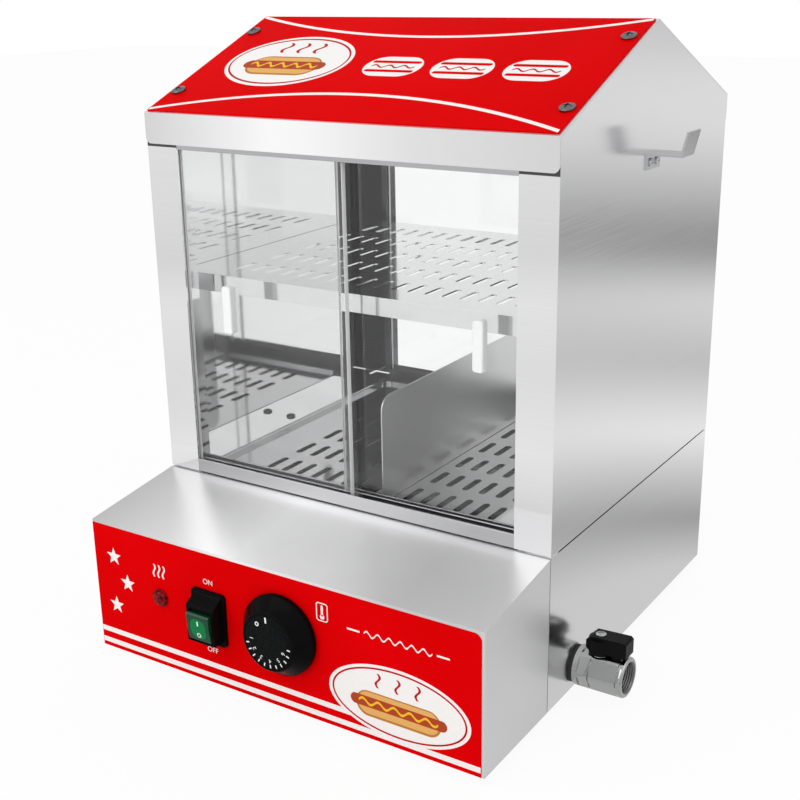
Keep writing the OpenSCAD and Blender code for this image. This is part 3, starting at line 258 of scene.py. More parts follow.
foot_rubber = finish("foot_rubber", (0.022, 0.022, 0.024), 0.0, 0.7)
specks = roughened(foot_rubber, 1500, 0.6, 0.85, 2.0)
embossed(foot_rubber, specks, 0.00008)
dress(foot_rubber, "rubber_feet")
soften(0.8, "rubber_feet", steps=3)


# Control box
# A folded stainless box in front of the cabinet, with a top that rises to it.
# It hooks over the tongue of the base housing.
box_steel = brushed("box_steel", (0.78, 0.78, 0.785), 0.36)
shader_of(box_steel).inputs["Metallic"].default_value = 0.55


def reflection_banded(made, stops):
    """Painted reflection: broad light and dark bands in the colour, from the left side to the right one."""
    spot = parted(made, sized_places(made, (1, 1, 1)))
    across = spread(made, spot["X"], 0, 1, at(-150, 0, 0).x, at(150, 0, 0).x)
    reflection_greys = [(place, (grey, grey, grey * 1.006)) for place, grey in stops]
    coloured(made, across, reflection_greys)


# Painted reflection: soft light and dark bands across the box from side to side.
reflection_banded(box_steel, ((0.0, 0.54), (0.2, 0.74), (0.4, 0.99), (0.6, 0.88), (0.8, 0.66), (1.0, 0.68)))
dress(box_steel, "control_box")
soften(0.45, "control_box", steps=3)


# Front label
# A printed film on the front panel: red with white stripes and stars, and a
# pale oval. Signs stand for heat and warmth, and words for on and off.
red_film = finish("red_film", (0.7, 0.0006, 0.0015), 0.0, 0.32)
shader_of(red_film).inputs["IOR"].default_value = 1.035
roughened(red_film, 900, 0.27, 0.37, 2.0)
film_waves = cloud(red_film, sized_places(red_film, (12, 12, 12)), 1.0, 1.0)
film_shades = ((0.3, (0.64, 0.0003, 0.001)), (0.7, (0.7, 0.0006, 0.002)))
coloured(red_film, film_waves, film_shades)
embossed(red_film, film_waves, 0.0004)
dress(red_film, "front_label")
soften(0.1, "front_label")


def ink(name, colour):
    made = finish(name, colour, 0.0, 0.4)
    shader_of(made).inputs["IOR"].default_value = 1.1
    dots = roughened(made, 1100, 0.34, 0.46, 2.0)
    thin = tuple(c * 0.95 for c in colour)
    coloured(made, dots, ((0.35, thin), (0.65, colour)))
    return made


white_ink = ink("white_ink", (0.87, 0.86, 0.84))
bun_ink = ink("bun_ink", (0.75, 0.42, 0.13))
crust_ink = ink("crust_ink", (0.5, 0.2, 0.04))
sausage_ink = ink("sausage_ink", (0.42, 0.06, 0.02))
mustard_ink = ink("mustard_ink", (0.85, 0.5, 0.03))
deep_red_ink = ink("deep_red_ink", (0.5, 0.004, 0.008))


def printed(name, loops, plane, made, body="cabinet", lift=0.0, thick=0.03):
    """Flat print from closed outlines in mm; an outline inside another is a hole."""
    drawing = bpy.data.curves.new(name, "CURVE")
    drawing.dimensions = "2D"
    drawing.fill_mode = "BOTH"
    drawing.extrude = thick / 1000
    for loop in loops:
        line = drawing.splines.new("POLY")
        line.points.add(len(loop) - 1)
        for point, (x, y) in zip(line.points, loop):
            point.co = (x / 1000, y / 1000, 0, 1)
        line.use_cyclic_u = True
    piece = bpy.data.objects.new(name, drawing)
    bpy.context.scene.collection.objects.link(piece)
    piece.matrix_world = plane @ Matrix.Translation((0, 0, (lift + thick) / 1000))
    drawing.materials.append(made)
    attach(piece, body)
    return piece


def upright_plane(x, y, z):
    """Plane of the front panel, its X to the right, Y up, and Z out to the front."""
    turn = Matrix(((1, 0, 0), (0, 0, -1), (0, 1, 0))).to_4x4()
    return Matrix.Translation(at(x, y, z)) @ turn


def ring_of(w, h, steps=72, x=0, y=0):
    angles = [2 * math.pi * i / steps for i in range(steps)]
    return [(x + w / 2 * math.cos(a), y + h / 2 * math.sin(a)) for a in angles]


def star(size, x, y):
    points = []
    for i in range(10):
        reach = size / 2 * (1.0 if i % 2 == 0 else 0.42)
        a = math.pi / 2 + math.pi * i / 5
        points.append((x + reach * math.cos(a), y + reach * math.sin(a)))
    return points


def bar_of(x0, y0, x1, y1):
    return [(x0, y0), (x1, y0), (x1, y1), (x0, y1)]


def wavy(x0, x1, y, swing, turns, width, steps=48):
    """A wavy band along X, drawn as one closed outline."""
    over, under = [], []
    for i in range(steps + 1):
        t = i / steps
        a = 2 * math.pi * turns * t
        x = x0 + (x1 - x0) * t
        centre = y + swing * math.sin(a)
        over.append((x, centre + width / 2))
        under.append((x, centre - width / 2))
    return over + under[::-1]


def quarter_turned(loop, x, y):
    return [(x - b, y + a) for a, b in loop]


def pill(w, h, x=0, y=0, steps=14):
    """A bar with round ends."""
    return softened_bar(w, h, x, y, min(w, h) / 2, steps)


def softened_bar(w, h, x, y, r, steps=8):
    """A bar with corners of radius r."""
    corners = []
    for i in range(4):
        cx = (w / 2 - r) * (1, -1, -1, 1)[i]
        cy = (h / 2 - r) * (1, 1, -1, -1)[i]
        for k in range(steps + 1):
            a = math.pi / 2 * (i + k / steps)
            corners.append((x + cx + r * math.cos(a), y + cy + r * math.sin(a)))
    return corners


label_y = -0.3
label_plane = upright_plane(0, label_y, 6)
printed("label_stars", [star(13, -132.6, 70.5), star(13, -121.8, 53.3), star(13, -133.8, 34.4)],
        label_plane, white_ink)
printed("label_stripes", [bar_of(-149.6, 3, 147.6, 6.7), bar_of(-149.6, 11.5, 80, 15.2)],
        label_plane, white_ink)
heat_waves = [quarter_turned(wavy(-4.5, 4.5, 0, 0.9, 1, 1.3), -92.5 + k, 69.5) for k in (-4, 0, 4)]
printed("heat_sign", heat_waves, label_plane, white_ink)
glass_frame = [softened_bar(8.6, 12.4, 39, 76, 2), softened_bar(7.2, 11, 39, 76, 1.3)]
glass_frame += [pill(1.6, 7.5, 39, 76.8), pill(3.2, 3.2, 39, 72.8)]
printed("warmth_sign", glass_frame, label_plane, white_ink)
printed("label_dashes", [bar_of(57, 69.9, 66, 71.1), bar_of(119, 69.9, 127.5, 71.1)],
        label_plane, white_ink)
printed("label_wave", [wavy(69, 116, 70.5, 1.6, 6, 1.1, 120)], label_plane, white_ink)


def food_sign(name, plane, w, h, body="cabinet"):
    """A pale oval with a plain sausage in a bun under three wisps of steam."""
    printed(name + "_oval", [ring_of(w, h)], plane, white_ink, body, 0.05)
    printed(name + "_line", [ring_of(w * 0.95, h * 0.92), ring_of(w * 0.925, h * 0.87)],
            plane, deep_red_ink, body, 0.1)
    drop = -0.1 * h
    printed(name + "_bun", [pill(w * 0.6, h * 0.36, 0, drop)], plane, bun_ink, body, 0.1)
    printed(name + "_crust", [pill(w * 0.6, h * 0.36, 0, drop), pill(w * 0.575, h * 0.31, 0, drop + 0.4)],
            plane, crust_ink, body, 0.13)
    printed(name + "_sausage", [pill(w * 0.68, h * 0.15, 0, drop + 1)], plane, sausage_ink, body, 0.16)
    printed(name + "_mustard", [wavy(-w * 0.28, w * 0.28, drop + 1, h * 0.035, 5, h * 0.035, 90)],
            plane, mustard_ink, body, 0.2)
    wisps = []
    for k in (-1, 0, 1):
        wisps.append(quarter_turned(wavy(0, h * 0.2, 0, h * 0.03, 1, h * 0.035), k * w * 0.14, h * 0.16))
    printed(name + "_steam", wisps, plane, deep_red_ink, body, 0.1)


food_sign("label_food", upright_plane(92, label_y, 35), 99, 48)


def word(name, text, size, plane, made, body="cabinet", lift=0.0):
    """Plain printed letters, centred on the plane's origin."""
    letters = bpy.data.curves.new(name, "FONT")
    letters.body = text
    letters.size = size / 1000
    letters.align_x = "CENTER"
    letters.align_y = "CENTER"
    letters.extrude = 0.00003
    piece = bpy.data.objects.new(name, letters)
    bpy.context.scene.collection.objects.link(piece)
    piece.matrix_world = plane @ Matrix.Translation((0, 0, (lift + 0.03) / 1000))
    letters.materials.append(made)
    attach(piece, body)
    return piece


word("word_on", "ON", 5.2, upright_plane(-50.5, label_y, 78.4), white_ink)
word("word_off", "OFF", 5.2, upright_plane(-50, label_y, 30.2), white_ink)


# Pilot lamp
# A dark red faceted lens with a flat rim, snapped into the panel. Its black
# body and its tabs are behind the panel.
lamp_red = finish("lamp_red", (0.1, 0.003, 0.006), 0.0, 0.2)
shader_of(lamp_red).inputs["IOR"].default_value = 1.2
depth_marks = cloud(lamp_red, sized_places(lamp_red, (420, 420, 420)), 1.0, 3.0)
lamp_shades = ((0.35, (0.015, 0.001, 0.002)), (0.65, (0.3, 0.006, 0.01)))
coloured(lamp_red, depth_marks, lamp_shades)


def solid(name, bm, made, body="cabinet", stands_for=(), smooth=True):
    """Makes a piece from a mesh drawn in mm, in the object's own places."""
    bmesh.ops.recalc_face_normals(bm, faces=bm.faces)
    for face in bm.faces:
        face.smooth = smooth
    mesh = bpy.data.meshes.new(name)
    bm.to_mesh(mesh)
    bm.free()
    mesh.materials.append(made)
    piece = bpy.data.objects.new(name, mesh)
    bpy.context.scene.collection.objects.link(piece)
    if stands_for:
        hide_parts(*stands_for)
    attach(piece, body)
    return piece


def turned(profile, axis, steps=96, bm=None, start=0.0):
    """Turns (radius, height) points in mm about the plane's Z axis."""
    bm = bm or bmesh.new()
    rings = []
    for r, h in profile:
        if r < 1e-6:
            rings.append([bm.verts.new(axis @ Vector((0, 0, h / 1000)))])
            continue
        ring = []
        for i in range(steps):
            a = start + 2 * math.pi * i / steps
            ring.append(bm.verts.new(axis @ (Vector((r * math.cos(a), r * math.sin(a), h)) / 1000)))
        rings.append(ring)
    for first, second in zip(rings, rings[1:]):
        count = max(len(first), len(second))
        for i in range(count):
            k = (i + 1) % count
            if len(first) == 1:
                bm.faces.new((first[0], second[i], second[k]))
            elif len(second) == 1:
                bm.faces.new((first[i], second[0], first[k]))
            else:
                bm.faces.new((first[i], second[i], second[k], first[k]))
    return bm


lamp_axis = upright_plane(-92.4, label_y, 56.7)
rim_profile = [(0, 0.05), (5.8, 0.05), (6.25, 0.4), (6.25, 0.9), (5.9, 1.25), (5.45, 1.2)]
lens_mesh = turned(rim_profile, lamp_axis, 48)
rows = 6
sides = 16
dome_r = 5.45
dome_rise = 2.75
grid = []
for row in range(rows):
    tilt = math.pi / 2 * row / rows
    r = dome_r * math.cos(tilt)
    h = 1.2 + dome_rise * math.sin(tilt)
    ring = []
    for i in range(sides):
        a = 2 * math.pi * (i + 0.5 * (row % 2)) / sides
        ring.append(lens_mesh.verts.new(lamp_axis @ (Vector((r * math.cos(a), r * math.sin(a), h)) / 1000)))
    grid.append(ring)
tip = lens_mesh.verts.new(lamp_axis @ Vector((0, 0, (1.2 + dome_rise) / 1000)))
for row in range(rows - 1):
    for i in range(sides):
        k = (i + 1) % sides
        a, b = grid[row][i], grid[row][k]
        c, d = grid[row + 1][i], grid[row + 1][k]
        if row % 2 == 0:
            lens_mesh.faces.new((a, b, c))
            lens_mesh.faces.new((c, b, d))
        else:
            lens_mesh.faces.new((a, d, c))
            lens_mesh.faces.new((a, b, d))
for i in range(sides):
    lens_mesh.faces.new((grid[-1][i], grid[-1][(i + 1) % sides], tip))
solid("faceted_lens", lens_mesh, lamp_red, stands_for=("pilot_lens",), smooth=False)

black_plastic = finish("black_plastic", (0.004, 0.004, 0.0045), 0.0, 0.2)
shader_of(black_plastic).inputs["IOR"].default_value = 1.09
mould_marks = roughened(black_plastic, 700, 0.14, 0.28, 2.0)
embossed(black_plastic, mould_marks, 0.00002)
dress(black_plastic, "pilot_body")
soften(0.2, "pilot_body")


# Rocker switch
# A black moulded frame with a splash hood round a green lighted rocker. The
# rocker carries a paler oval and the marks for on and off.
dress(black_plastic, "switch_housing")
soften(0.6, "switch_housing", steps=3)
rocker_green = finish("rocker_green", (0.002, 0.05, 0.02), 0.0, 0.16)
shader_of(rocker_green).inputs["Specular IOR Level"].default_value = 0.3
green_specks = roughened(rocker_green, 500, 0.12, 0.2, 2.0)
green_shades = ((0.3, (0.0015, 0.035, 0.014)), (0.7, (0.003, 0.06, 0.024)))
coloured(rocker_green, green_specks, green_shades)
dress(rocker_green, "switch_rocker")
soften(0.5, "switch_rocker", steps=3)
green_light = ink("green_light", (0.007, 0.2, 0.06))
brass = finish("bare_brass", (0.72, 0.52, 0.22), 1.0, 0.3)
roughened(brass, 300, 0.22, 0.42)
dress(brass, "switch_tabs", "element_nuts")
soften(0.15, "switch_tabs")
soften(0.4, "element_nuts")

# The rocker's face has a faint ridge across its middle; these marks lie on
# its halves.
rocker_tilt = math.radians(7)
pivot = at(-50, -6.3, 51.9)
ridge_out = 6.62
half_height = 9
half_fall = 0.5


def rocker_plane(height):
    """Plane on the rocker's face at a height in mm above its middle."""
    out = half_fall * abs(height) / half_height - ridge_out
    lean = math.atan2(half_fall, half_height) * (-1 if height > 0 else 1)
    turn = Matrix.Rotation(rocker_tilt, 4, "X")
    turn.translation = pivot
    local = Matrix.Translation(Vector((0, out, height)) / 1000)
    face = Matrix(((1, 0, 0), (0, 0, -1), (0, 1, 0))).to_4x4()
    return turn @ local @ Matrix.Rotation(lean, 4, "X") @ face


oval = softened_bar(12.4, 14.4, 0, 0, 5.2, 14)
upper_half = [(x, y) for x, y in oval if y > 0] + [(-6.2, 0), (6.2, 0)]
lower_half = [(6.2, 0), (-6.2, 0)] + [(x, y) for x, y in oval if y < 0]
printed("rocker_light_top", [upper_half], rocker_plane(0.001), green_light, "power_rocker")
printed("rocker_light_low", [lower_half], rocker_plane(-0.001), green_light, "power_rocker")
printed("rocker_on_mark", [bar_of(-0.5, -1.6, 0.5, 1.6)], rocker_plane(4), white_ink, "power_rocker", 0.07)
printed("rocker_off_mark", [ring_of(3.4, 3.4), ring_of(2.2, 2.2)], rocker_plane(-4.6), white_ink,
        "power_rocker", 0.07)


# Thermostat knob
# A moulded black knob on a steel shaft: a glossy tapered skirt, and a fine
# grained face with a white pointer, a printed scale and its numbers.
knob_axis = upright_plane(7.5, label_y, 59)
knob_profile = [(3.05, 1.7), (6, 1.7), (6, 11.2), (16, 11.2), (24, 3.2), (24, 0.7), (26.4, 0.7),
                (26.85, 0.85), (27, 1.3), (27, 3.7), (26.85, 4.3), (26.5, 4.75), (25.9, 5.3),
                (20.3, 12.5), (20.0, 13.1), (19.5, 13.7), (18.8, 14.05), (18.2, 14.18), (17.7, 14.1),
                (17.4, 13.95), (0, 13.95)]
solid("knob_body", turned(knob_profile, knob_axis, 128), black_plastic, "thermostat_dial",
      ("thermostat_knob",))
knob_face = finish("knob_face_grain", (0.012, 0.012, 0.013), 0.0, 0.55)
shader_of(knob_face).inputs["IOR"].default_value = 1.07
grains = roughened(knob_face, 1400, 0.45, 0.65, 2.0)
embossed(knob_face, grains, 0.00012)
grain_shades = ((0.35, (0.003, 0.004, 0.004)), (0.65, (0.011, 0.013, 0.013)))
coloured(knob_face, grains, grain_shades)
face_profile = [(17.35, 13.9), (17.35, 14.02), (12, 14.08), (0, 14.1)]
solid("knob_face", turned(face_profile, knob_axis), knob_face, "thermostat_dial")


def on_knob(radius, angle, height=14.12):
    """Plane on the knob's face, its Y away from the middle, angle in degrees from the top."""
    turn = Matrix.Rotation(math.radians(-angle), 4, "Z")
    return knob_axis @ turn @ Matrix.Translation((0, radius / 1000, height / 1000))


printed("knob_pointer", [bar_of(-0.6, -1.9, 0.6, 1.9)], on_knob(15, -3), white_ink, "thermostat_dial")
printed("knob_off_mark", [ring_of(3, 3, 24), ring_of(1.6, 1.6, 24)], on_knob(13.3, -35), white_ink,
        "thermostat_dial")
tick_shape = bar_of(-0.42, -1.15, 0.42, 1.15)
for k in range(11):
    printed("knob_tick_%02d" % k, [tick_shape], on_knob(15.9, 257 - 16.4 * k), white_ink, "thermostat_dial")
for k in range(6):
    number = str(k + 1)
    word("knob_number_" + number, number, 3.9, on_knob(12.3, 270 - 32 * k), white_ink, "thermostat_dial")


# Thermostat, wires and terminal block
# The thermostat hangs behind the panel on two screws. Its copper bulb lies in
# the tank, and insulated wires run to the switch, the lamp and the heater.
cream = finish("cream_moulding", (0.78, 0.74, 0.64), 0.0, 0.5)
roughened(cream, 600, 0.42, 0.6)
dress(cream, "thermostat_case", "terminal_block")
soften(0.6, "thermostat_case", "terminal_block")
copper = finish("bare_copper", (0.75, 0.36, 0.2), 1.0, 0.28)
roughened(copper, 250, 0.2, 0.42)
dress(copper, "thermostat_bulb")
wire_red = finish("wire_covering", (0.45, 0.03, 0.02), 0.0, 0.5)
roughened(wire_red, 500, 0.4, 0.6, 2.0)
dress(wire_red, "wiring")
dress(plain_steel, "thermostat_shaft")
dress(zinc, "thermostat_screws")
soften(0.15, "thermostat_screws")


# Water tank and heater
# A pressed stainless tank hangs from its rim on the base housing. A tubular
# element with brass nuts and soft gaskets lies above its floor.
inner_steel = brushed("inner_steel", (0.42, 0.42, 0.43), 0.12, 0.02, 0.0005)
dress(inner_steel, "water_tank")
soften(0.4, "water_tank", steps=3)
dress(plain_steel, "heating_element")
gasket_red = finish("red_gasket", (0.36, 0.06, 0.04), 0.0, 0.6)
roughened(gasket_red, 500, 0.5, 0.7, 2.0)
dress(gasket_red, "element_gaskets")
soften(0.2, "element_gaskets")


# Lower tray and divider
# A slotted stainless tray rests on the tank's ledge. The loose divider of
# dull plate stands on it and can be slid sideways.
tray_steel = brushed("tray_steel", (0.52, 0.52, 0.525), 0.08, 0.02, 0.0005)
dress(tray_steel, "lower_tray")
soften(0.3, "lower_tray")
divider_steel = brushed("divider_steel", (0.66, 0.66, 0.665), 0.34, 0.04, 0.0004)
dress(divider_steel, "divider")
soften(0.3, "divider")


# Side walls
# Each wall is one sheet with folded posts and flanges, polished bright inside
# and held by two pan screws. The rear posts carry painted shade, and a thin
# painted shadow lies on the posts under the eaves.
wall_steel = brushed("wall_steel", (0.81, 0.81, 0.815), 0.2)
wall_spot = parted(wall_steel, sized_places(wall_steel, (1, 1, 1)))
from_middle = worked_out(wall_steel, "SUBTRACT", wall_spot["X"], middle_x / 1000)
reach_x = worked_out(wall_steel, "ABSOLUTE", from_middle)
polish = spread(wall_steel, reach_x, 0.12, 1.0, 0.1493, 0.1496)
satin = shader_of(wall_steel).inputs["Roughness"].links[0].from_socket
wall_roughness = worked_out(wall_steel, "MULTIPLY", satin, polish)
join(wall_steel, wall_roughness, shader_of(wall_steel).inputs["Roughness"])


def mixed_colour(made, share, first, second):
    """A blend of two colours, each a socket or plain numbers, by a share."""
    blend = made.node_tree.nodes.new("ShaderNodeMix")
    blend.data_type = "RGBA"
    join(made, share, blend.inputs["Factor"])
    for place, colour in ((blend.inputs[6], first), (blend.inputs[7], second)):
        if isinstance(colour, tuple):
            place.default_value = (*colour, 1)
        else:
            join(made, colour, place)
    return blend.outputs[2]


def shade_painted(made, colour, *shares):
    """Lays painted shade, a darker colour, where all the shares are 1."""
    under = shader_of(made).inputs["Base Color"].links[0].from_socket
    share = shares[0]
    for other in shares[1:]:
        share = worked_out(made, "MULTIPLY", share, other)
    join(made, mixed_colour(made, share, under, colour), shader_of(made).inputs["Base Color"])


# Painted shade: the rear posts, inside the wall's outer face, are darkened to near black.
behind = spread(wall_steel, wall_spot["Y"], 0, 1, at(0, 326, 0).y, at(0, 327, 0).y)
before = spread(wall_steel, wall_spot["Y"], 1, 0, at(0, 342.5, 0).y, at(0, 342.8, 0).y)
rear_shade_within = spread(wall_steel, reach_x, 1, 0, 0.1493, 0.1496)
shade_painted(wall_steel, (0.07, 0.07, 0.075), behind, before, rear_shade_within)
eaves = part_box("roof_shell")[0].z
# Painted shadow: a thin dark strip on the posts' front faces just under the fascia.
eaves_shadow_strip = spread(wall_steel, wall_spot["Z"], 0, 1, eaves - 0.0019, eaves - 0.0017)
eaves_shadow_front = spread(wall_steel, way_faced(wall_steel)["Y"], 1, 0, -0.9, -0.6)
shade_painted(wall_steel, (0.08, 0.08, 0.08), eaves_shadow_strip, eaves_shadow_front)
dress(wall_steel, "side_panel_left", "side_panel_right")
soften(0.35, "side_panel_left", "side_panel_right")
dark_screw = finish("dark_screw", (0.17, 0.17, 0.175), 1.0, 0.3)
roughened(dark_screw, 300, 0.2, 0.4)
dress(dark_screw, "deck_screws")
soften(0.25, "deck_screws")


# Door tracks
# Double channels of folded stainless strip, at the sill and under the roof,
# in front and at the rear; the rear ones are darkened as painted shade.
track_steel = brushed("track_steel", (0.5, 0.5, 0.51), 0.2, 0.02, 0.0003)
# Painted shade: the rear channels are the same stainless strip, darkened to near black.
shaded_rear_steel = brushed("rear_track_painted_shade", (0.1, 0.1, 0.105), 0.2, 0.02, 0.0003)
dress(track_steel, "front_sill_track", "front_head_track")
dress(shaded_rear_steel, "rear_sill_track", "rear_head_track")
soften(0.3, "front_sill_track", "front_head_track", "rear_sill_track", "rear_head_track")


# Glass doors
# Panes of clear toughened glass with ground edges slide past each other in
# the tracks. Each has a clear moulded handle bonded to its face.
def clear(name, colour, ior, roughness=0.0):
    """See-through material that lets the lamps' light pass to what is behind it."""
    made = finish(name, colour, 0.0, roughness)
    shader = shader_of(made)
    shader.inputs["Transmission Weight"].default_value = 1.0
    shader.inputs["IOR"].default_value = ior
    path = made.node_tree.nodes.new("ShaderNodeLightPath")
    open_way = made.node_tree.nodes.new("ShaderNodeBsdfTransparent")
    both = made.node_tree.nodes.new("ShaderNodeMixShader")
    join(made, path.outputs["Is Shadow Ray"], both.inputs["Fac"])
    join(made, shader.outputs["BSDF"], both.inputs[1])
    join(made, open_way.outputs["BSDF"], both.inputs[2])
    join(made, both.outputs["Shader"], made.node_tree.nodes["Material Output"].inputs["Surface"])
    return made


door_glass = clear("door_glass", (0.985, 0.99, 0.988), 1.45)
shader_of(door_glass).inputs["Specular IOR Level"].default_value = 0.15
smears = cloud(door_glass, sized_places(door_glass, (30, 30, 30)), 1.0, 3.0)
join(door_glass, spread(door_glass, smears, 0.0, 0.02, 0.5, 0.8), shader_of(door_glass).inputs["Roughness"])
edge_size = worked_out(door_glass, "ABSOLUTE", way_faced(door_glass)["X"])
ground_edge = spread(door_glass, edge_size, 1.0, 0.1, 0.5, 0.8)
join(door_glass, ground_edge, shader_of(door_glass).inputs["Transmission Weight"])
doors = ("front_door_left", "front_door_right", "rear_door_left", "rear_door_right")
panes = [door + "_glass" for door in doors]
dress(door_glass, *panes)
soften(0.4, *panes, steps=1)
clear_plastic = clear("clear_moulding", (0.97, 0.98, 0.98), 1.3, 0.1)
shader_of(clear_plastic).inputs["Transmission Weight"].default_value = 0.25
flow_marks = cloud(clear_plastic, sized_places(clear_plastic, (160, 160, 50)), 1.0, 2.0)
flow_gloss = spread(clear_plastic, flow_marks, 0.06, 0.16)
join(clear_plastic, flow_gloss, shader_of(clear_plastic).inputs["Roughness"])
handles = [door + "_handle" for door in doors]
dress(clear_plastic, *handles)
soften(1.2, *handles, steps=4)


# Upper shelf
# A slotted stainless shelf with folded front and rear edges, on two angle
# rails that are welded to the side walls.
shelf_steel = brushed("shelf_steel", (0.74, 0.74, 0.745), 0.1, 0.02, 0.0005)
dress(shelf_steel, "upper_shelf")
soften(0.3, "upper_shelf")
dress(plain_steel, "shelf_rails")
soften(0.3, "shelf_rails")


# Roof and sign
# A gable roof folded from one sheet, with a fascia at each eave. The printed
# sign plate and the roof are held by dark pan screws with nuts.
roof_steel = brushed("roof_steel", (0.82, 0.82, 0.825), 0.24)
shader_of(roof_steel).inputs["Metallic"].default_value = 0.7
# Painted reflection: light and dark bands along the roof and its fascias.
reflection_banded(roof_steel, ((0.0, 0.68), (0.12, 0.78), (0.34, 0.98), (0.44, 0.96), (0.68, 0.78), (1.0, 0.68)))
dress(roof_steel, "roof_shell")
soften(0.35, "roof_shell", steps=3)
dress(red_film, "sign_panel")
soften(0.3, "sign_panel")
dress(zinc, "roof_nuts")
dress(dark_screw, "roof_screws")
soften(0.15, "roof_nuts", "roof_screws")
roof_slope = math.radians(22.54)
eaves_y = 79
eaves_z = 359


def roof_plane(x, s):
    """Plane on the sign plate, s mm up the slope from the eaves."""
    turn = Matrix.Rotation(roof_slope, 4, "X")
    rise = s * math.sin(roof_slope) + math.cos(roof_slope)
    back = s * math.cos(roof_slope) - math.sin(roof_slope)
    return Matrix.Translation(at(x, eaves_y + back, eaves_z + rise)) @ turn


def arc_band(edge, middle, half, width, steps=60):
    """A bowed band across the sign, from s at its ends to s at its middle."""
    over, under = [], []
    for i in range(steps + 1):
        x = -half + 2 * half * i / steps
        s = middle + (edge - middle) * (x / half) ** 2
        over.append((x, s + width / 2))
        under.append((x, s - width / 2))
    return over + under[::-1]


sign_plane = roof_plane(0, 0)
arcs = [arc_band(140.2, 112.9, 147.6, 3), arc_band(3.4, 33.7, 147.6, 3)]
printed("sign_arcs", arcs, sign_plane, white_ink)
food_sign("sign_food", roof_plane(-82, 74.6), 97, 71)
for k in range(3):
    x = 2 + k * 50
    printed("sign_bun_%d" % k, [pill(42, 26, x, 71), pill(36, 3.4, x, 65), pill(36, 3.4, x, 77)],
            sign_plane, white_ink)
    printed("sign_wave_%d" % k, [wavy(x - 16, x + 16, 71, 1.6, 3, 1.6)], sign_plane, deep_red_ink,
            lift=0.05)


# Tong hook
# One bent stainless strip on the right wall. Two small zinc plated pan
# screws hold it.
dress(plain_steel, "tong_hook")
soften(0.35, "tong_hook")
dress(zinc, "hook_screws")
soften(0.15, "hook_screws")


# Drain and valve
# A stainless pipe leads from the tank to a chromed ball valve with seats of
# white plastic. Its black dipped lever is held by a chromed screw.
dress(plain_steel, "drain_pipe")
dress(foot_rubber, "drain_gasket")
soften(0.3, "drain_gasket")
chrome = finish("chrome_plating", (0.45, 0.46, 0.45), 1.0, 0.1)
roughened(chrome, 180, 0.05, 0.14, 2.0)
dress(chrome, "valve_body", "valve_ball", "valve_stem", "lever_screw")
soften(0.5, "valve_body", steps=3)
soften(0.2, "lever_screw", "valve_stem")
white_plastic = finish("seat_plastic", (0.85, 0.85, 0.82), 0.0, 0.4)
roughened(white_plastic, 500, 0.32, 0.5, 2.0)
dress(white_plastic, "valve_seats")

drain_at = at(0, 120.5, 21)
drain_axis = Matrix.Translation(drain_at) @ Matrix(((0, 0, 1), (0, 1, 0), (-1, 0, 0))).to_4x4()
outlet_low, outlet_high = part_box("valve_end")
inlet_end = outlet_low.x * 1000 - middle_x
end_face = outlet_high.x * 1000 - middle_x
end_profile = [(5, inlet_end), (11, inlet_end), (11, end_face - 4), (12.6, end_face - 4),
               (13.0, end_face - 3.8), (13.2, end_face - 3.4), (13.2, end_face - 1.2),
               (13.0, end_face - 0.6), (12.6, end_face - 0.2), (12.1, end_face), (10.6, end_face),
               (9.9, end_face - 0.7)]
turn_at = end_face - 0.9
while turn_at > end_face - 9:
    end_profile += [(9.3, turn_at - 0.3), (9.3, turn_at - 0.5)]
    end_profile += [(10.1, turn_at - 1.1), (10.1, turn_at - 1.2)]
    turn_at -= 1.5
end_profile += [(9.3, end_face - 10), (5, end_face - 10), (5, inlet_end)]
outlet = solid("valve_outlet", turned(end_profile, drain_axis), chrome,
               stands_for=("valve_end",))
# Painted shade: the faces of the outlet's threaded bore take the dark screw finish.
outlet.data.materials.append(dark_screw)
for face in outlet.data.polygons:
    spot_in = face.center - drain_at
    inside = math.hypot(spot_in.y, spot_in.z) < 0.0103
    if inside and spot_in.x > (end_face - 11) / 1000:
        face.material_index = 1

black_grip = finish("black_dip", (0.005, 0.005, 0.0055), 0.0, 0.33)
shader_of(black_grip).inputs["IOR"].default_value = 1.16
dip_marks = roughened(black_grip, 240, 0.26, 0.42)
embossed(black_grip, dip_marks, 0.00004)
dress(black_grip, "valve_lever")
soften(1.3, "valve_lever", steps=4)


# Cable gland
# A black moulded gland with its nut, through the rear wall. No cord shows in
# the photograph, so none comes out of it.
dress(black_grip, "cord_gland", "gland_nut")
soften(0.4, "cord_gland", "gland_nut")


# Floor, background and lamps
# A pale studio floor that mirrors show in soft grey rings, a white backdrop,
# one broad lamp from the upper left and a weaker one from the right.
floor_colour = finish("studio_floor", (0.9, 0.9, 0.9), 0.0, 0.6)
ray = floor_colour.node_tree.nodes.new("ShaderNodeLightPath").outputs
seen = worked_out(floor_colour, "MAXIMUM", ray["Is Camera Ray"], ray["Is Glossy Ray"])
seen = worked_out(floor_colour, "MAXIMUM", seen, ray["Is Transmission Ray"])
floor_places = floor_colour.node_tree.nodes.new("ShaderNodeTexCoord").outputs["Object"]
reach = floor_colour.node_tree.nodes.new("ShaderNodeVectorMath")
reach.operation = "LENGTH"
join(floor_colour, floor_places, reach.inputs[0])
ring_greys = ((0.07, 0.7), (0.1, 0.36), (0.17, 1.0), (0.25, 0.56), (0.36, 0.86), (0.47, 0.2), (0.7, 0.6),
              (1.0, 0.9))
soft_rings = [(place, (grey, grey, grey)) for place, grey in ring_greys]
rings = tones(floor_colour, spread(floor_colour, reach.outputs["Value"], 0, 1, 0, 3), soft_rings)
in_front = spread(floor_colour, parted(floor_colour, floor_places)["Y"], 0.8, 0, -0.5, -0.1)
evened = mixed_colour(floor_colour, in_front, rings, (0.95, 0.95, 0.95))
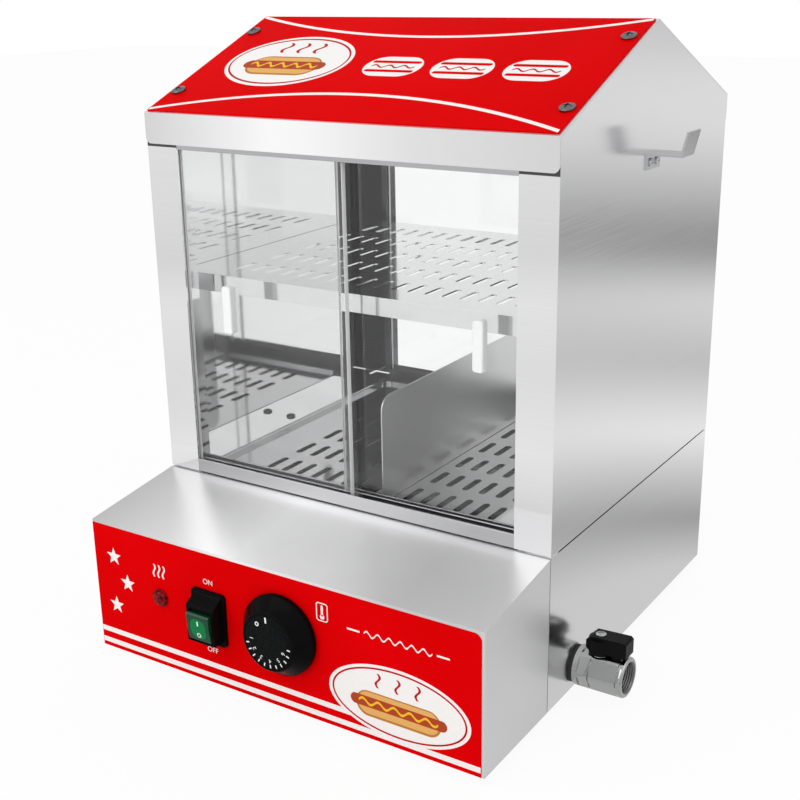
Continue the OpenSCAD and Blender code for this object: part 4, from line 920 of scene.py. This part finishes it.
mirrored = worked_out(floor_colour, "SUBTRACT", ray["Is Glossy Ray"], ray["Is Transmission Ray"])
mirrored = worked_out(floor_colour, "MAXIMUM", mirrored, 0.0)
white = floor_colour.node_tree.nodes.new("ShaderNodeEmission")
white.inputs["Strength"].default_value = 1.0
join(floor_colour, mixed_colour(floor_colour, mirrored, (1, 1, 1), evened), white.inputs["Color"])
lifted = floor_colour.node_tree.nodes.new("ShaderNodeMixShader")
join(floor_colour, spread(floor_colour, seen, 0.0, 0.92, 0, 1), lifted.inputs["Fac"])
join(floor_colour, shader_of(floor_colour).outputs["BSDF"], lifted.inputs[1])
join(floor_colour, white.outputs["Emission"], lifted.inputs[2])
floor_end = floor_colour.node_tree.nodes["Material Output"]
join(floor_colour, lifted.outputs["Shader"], floor_end.inputs["Surface"])
ground = bmesh.new()
corners = [ground.verts.new((x * 6, y * 6, 0)) for x, y in ((-1, -1), (1, -1), (1, 1), (-1, 1))]
ground.faces.new(corners)
floor_mesh = bpy.data.meshes.new("studio_floor")
ground.to_mesh(floor_mesh)
ground.free()
floor_mesh.materials.append(floor_colour)
floor = bpy.data.objects.new("studio_floor", floor_mesh)
bpy.context.scene.collection.objects.link(floor)

world = bpy.data.worlds.new("studio")
bpy.context.scene.world = world
world.use_nodes = True
world.node_tree.nodes.clear()
world_end = world.node_tree.nodes.new("ShaderNodeOutputWorld")
ray = world.node_tree.nodes.new("ShaderNodeLightPath").outputs


def white_light(strength):
    light = world.node_tree.nodes.new("ShaderNodeBackground")
    light.inputs["Color"].default_value = (1, 1, 1, 1)
    light.inputs["Strength"].default_value = strength
    return light


def chosen(share, first, second):
    """The first light, or the second where share is 1."""
    choice = world.node_tree.nodes.new("ShaderNodeMixShader")
    join(world, share, choice.inputs["Fac"])
    join(world, first, choice.inputs[1])
    join(world, second, choice.inputs[2])
    return choice.outputs["Shader"]


around = white_light(0.78).outputs["Background"]
backdrop = white_light(1.0).outputs["Background"]
mirror_room = white_light(1.0)
way = world.node_tree.nodes.new("ShaderNodeTexCoord").outputs["Generated"]
room_tones = ((0.0, (0.66, 0.66, 0.67)), (0.8, (0.92, 0.92, 0.92)))
join(world, tones(world, parted(world, way)["Z"], room_tones), mirror_room.inputs["Color"])
seen_straight = worked_out(world, "MAXIMUM", ray["Is Camera Ray"], ray["Is Transmission Ray"])
room = chosen(ray["Is Glossy Ray"], around, mirror_room.outputs["Background"])
join(world, chosen(seen_straight, room, backdrop), world_end.inputs["Surface"])


def lamp(name, place, size, power, target=(0, 0, 0.2)):
    light = bpy.data.lights.new(name, "AREA")
    light.shape = "RECTANGLE"
    light.size = size
    light.size_y = size
    light.energy = power
    made = bpy.data.objects.new(name, light)
    bpy.context.scene.collection.objects.link(made)
    made.location = place
    aim = Vector(target) - Vector(place)
    made.rotation_euler = aim.to_track_quat("-Z", "Y").to_euler()
    return made


lamp("key_lamp", (-0.7, -1.4, 1.3), 1.8, 15)
lamp("side_lamp", (1.6, 0.1, 1.0), 1.2, 4)

bpy.context.scene.view_settings.view_transform = "Standard"
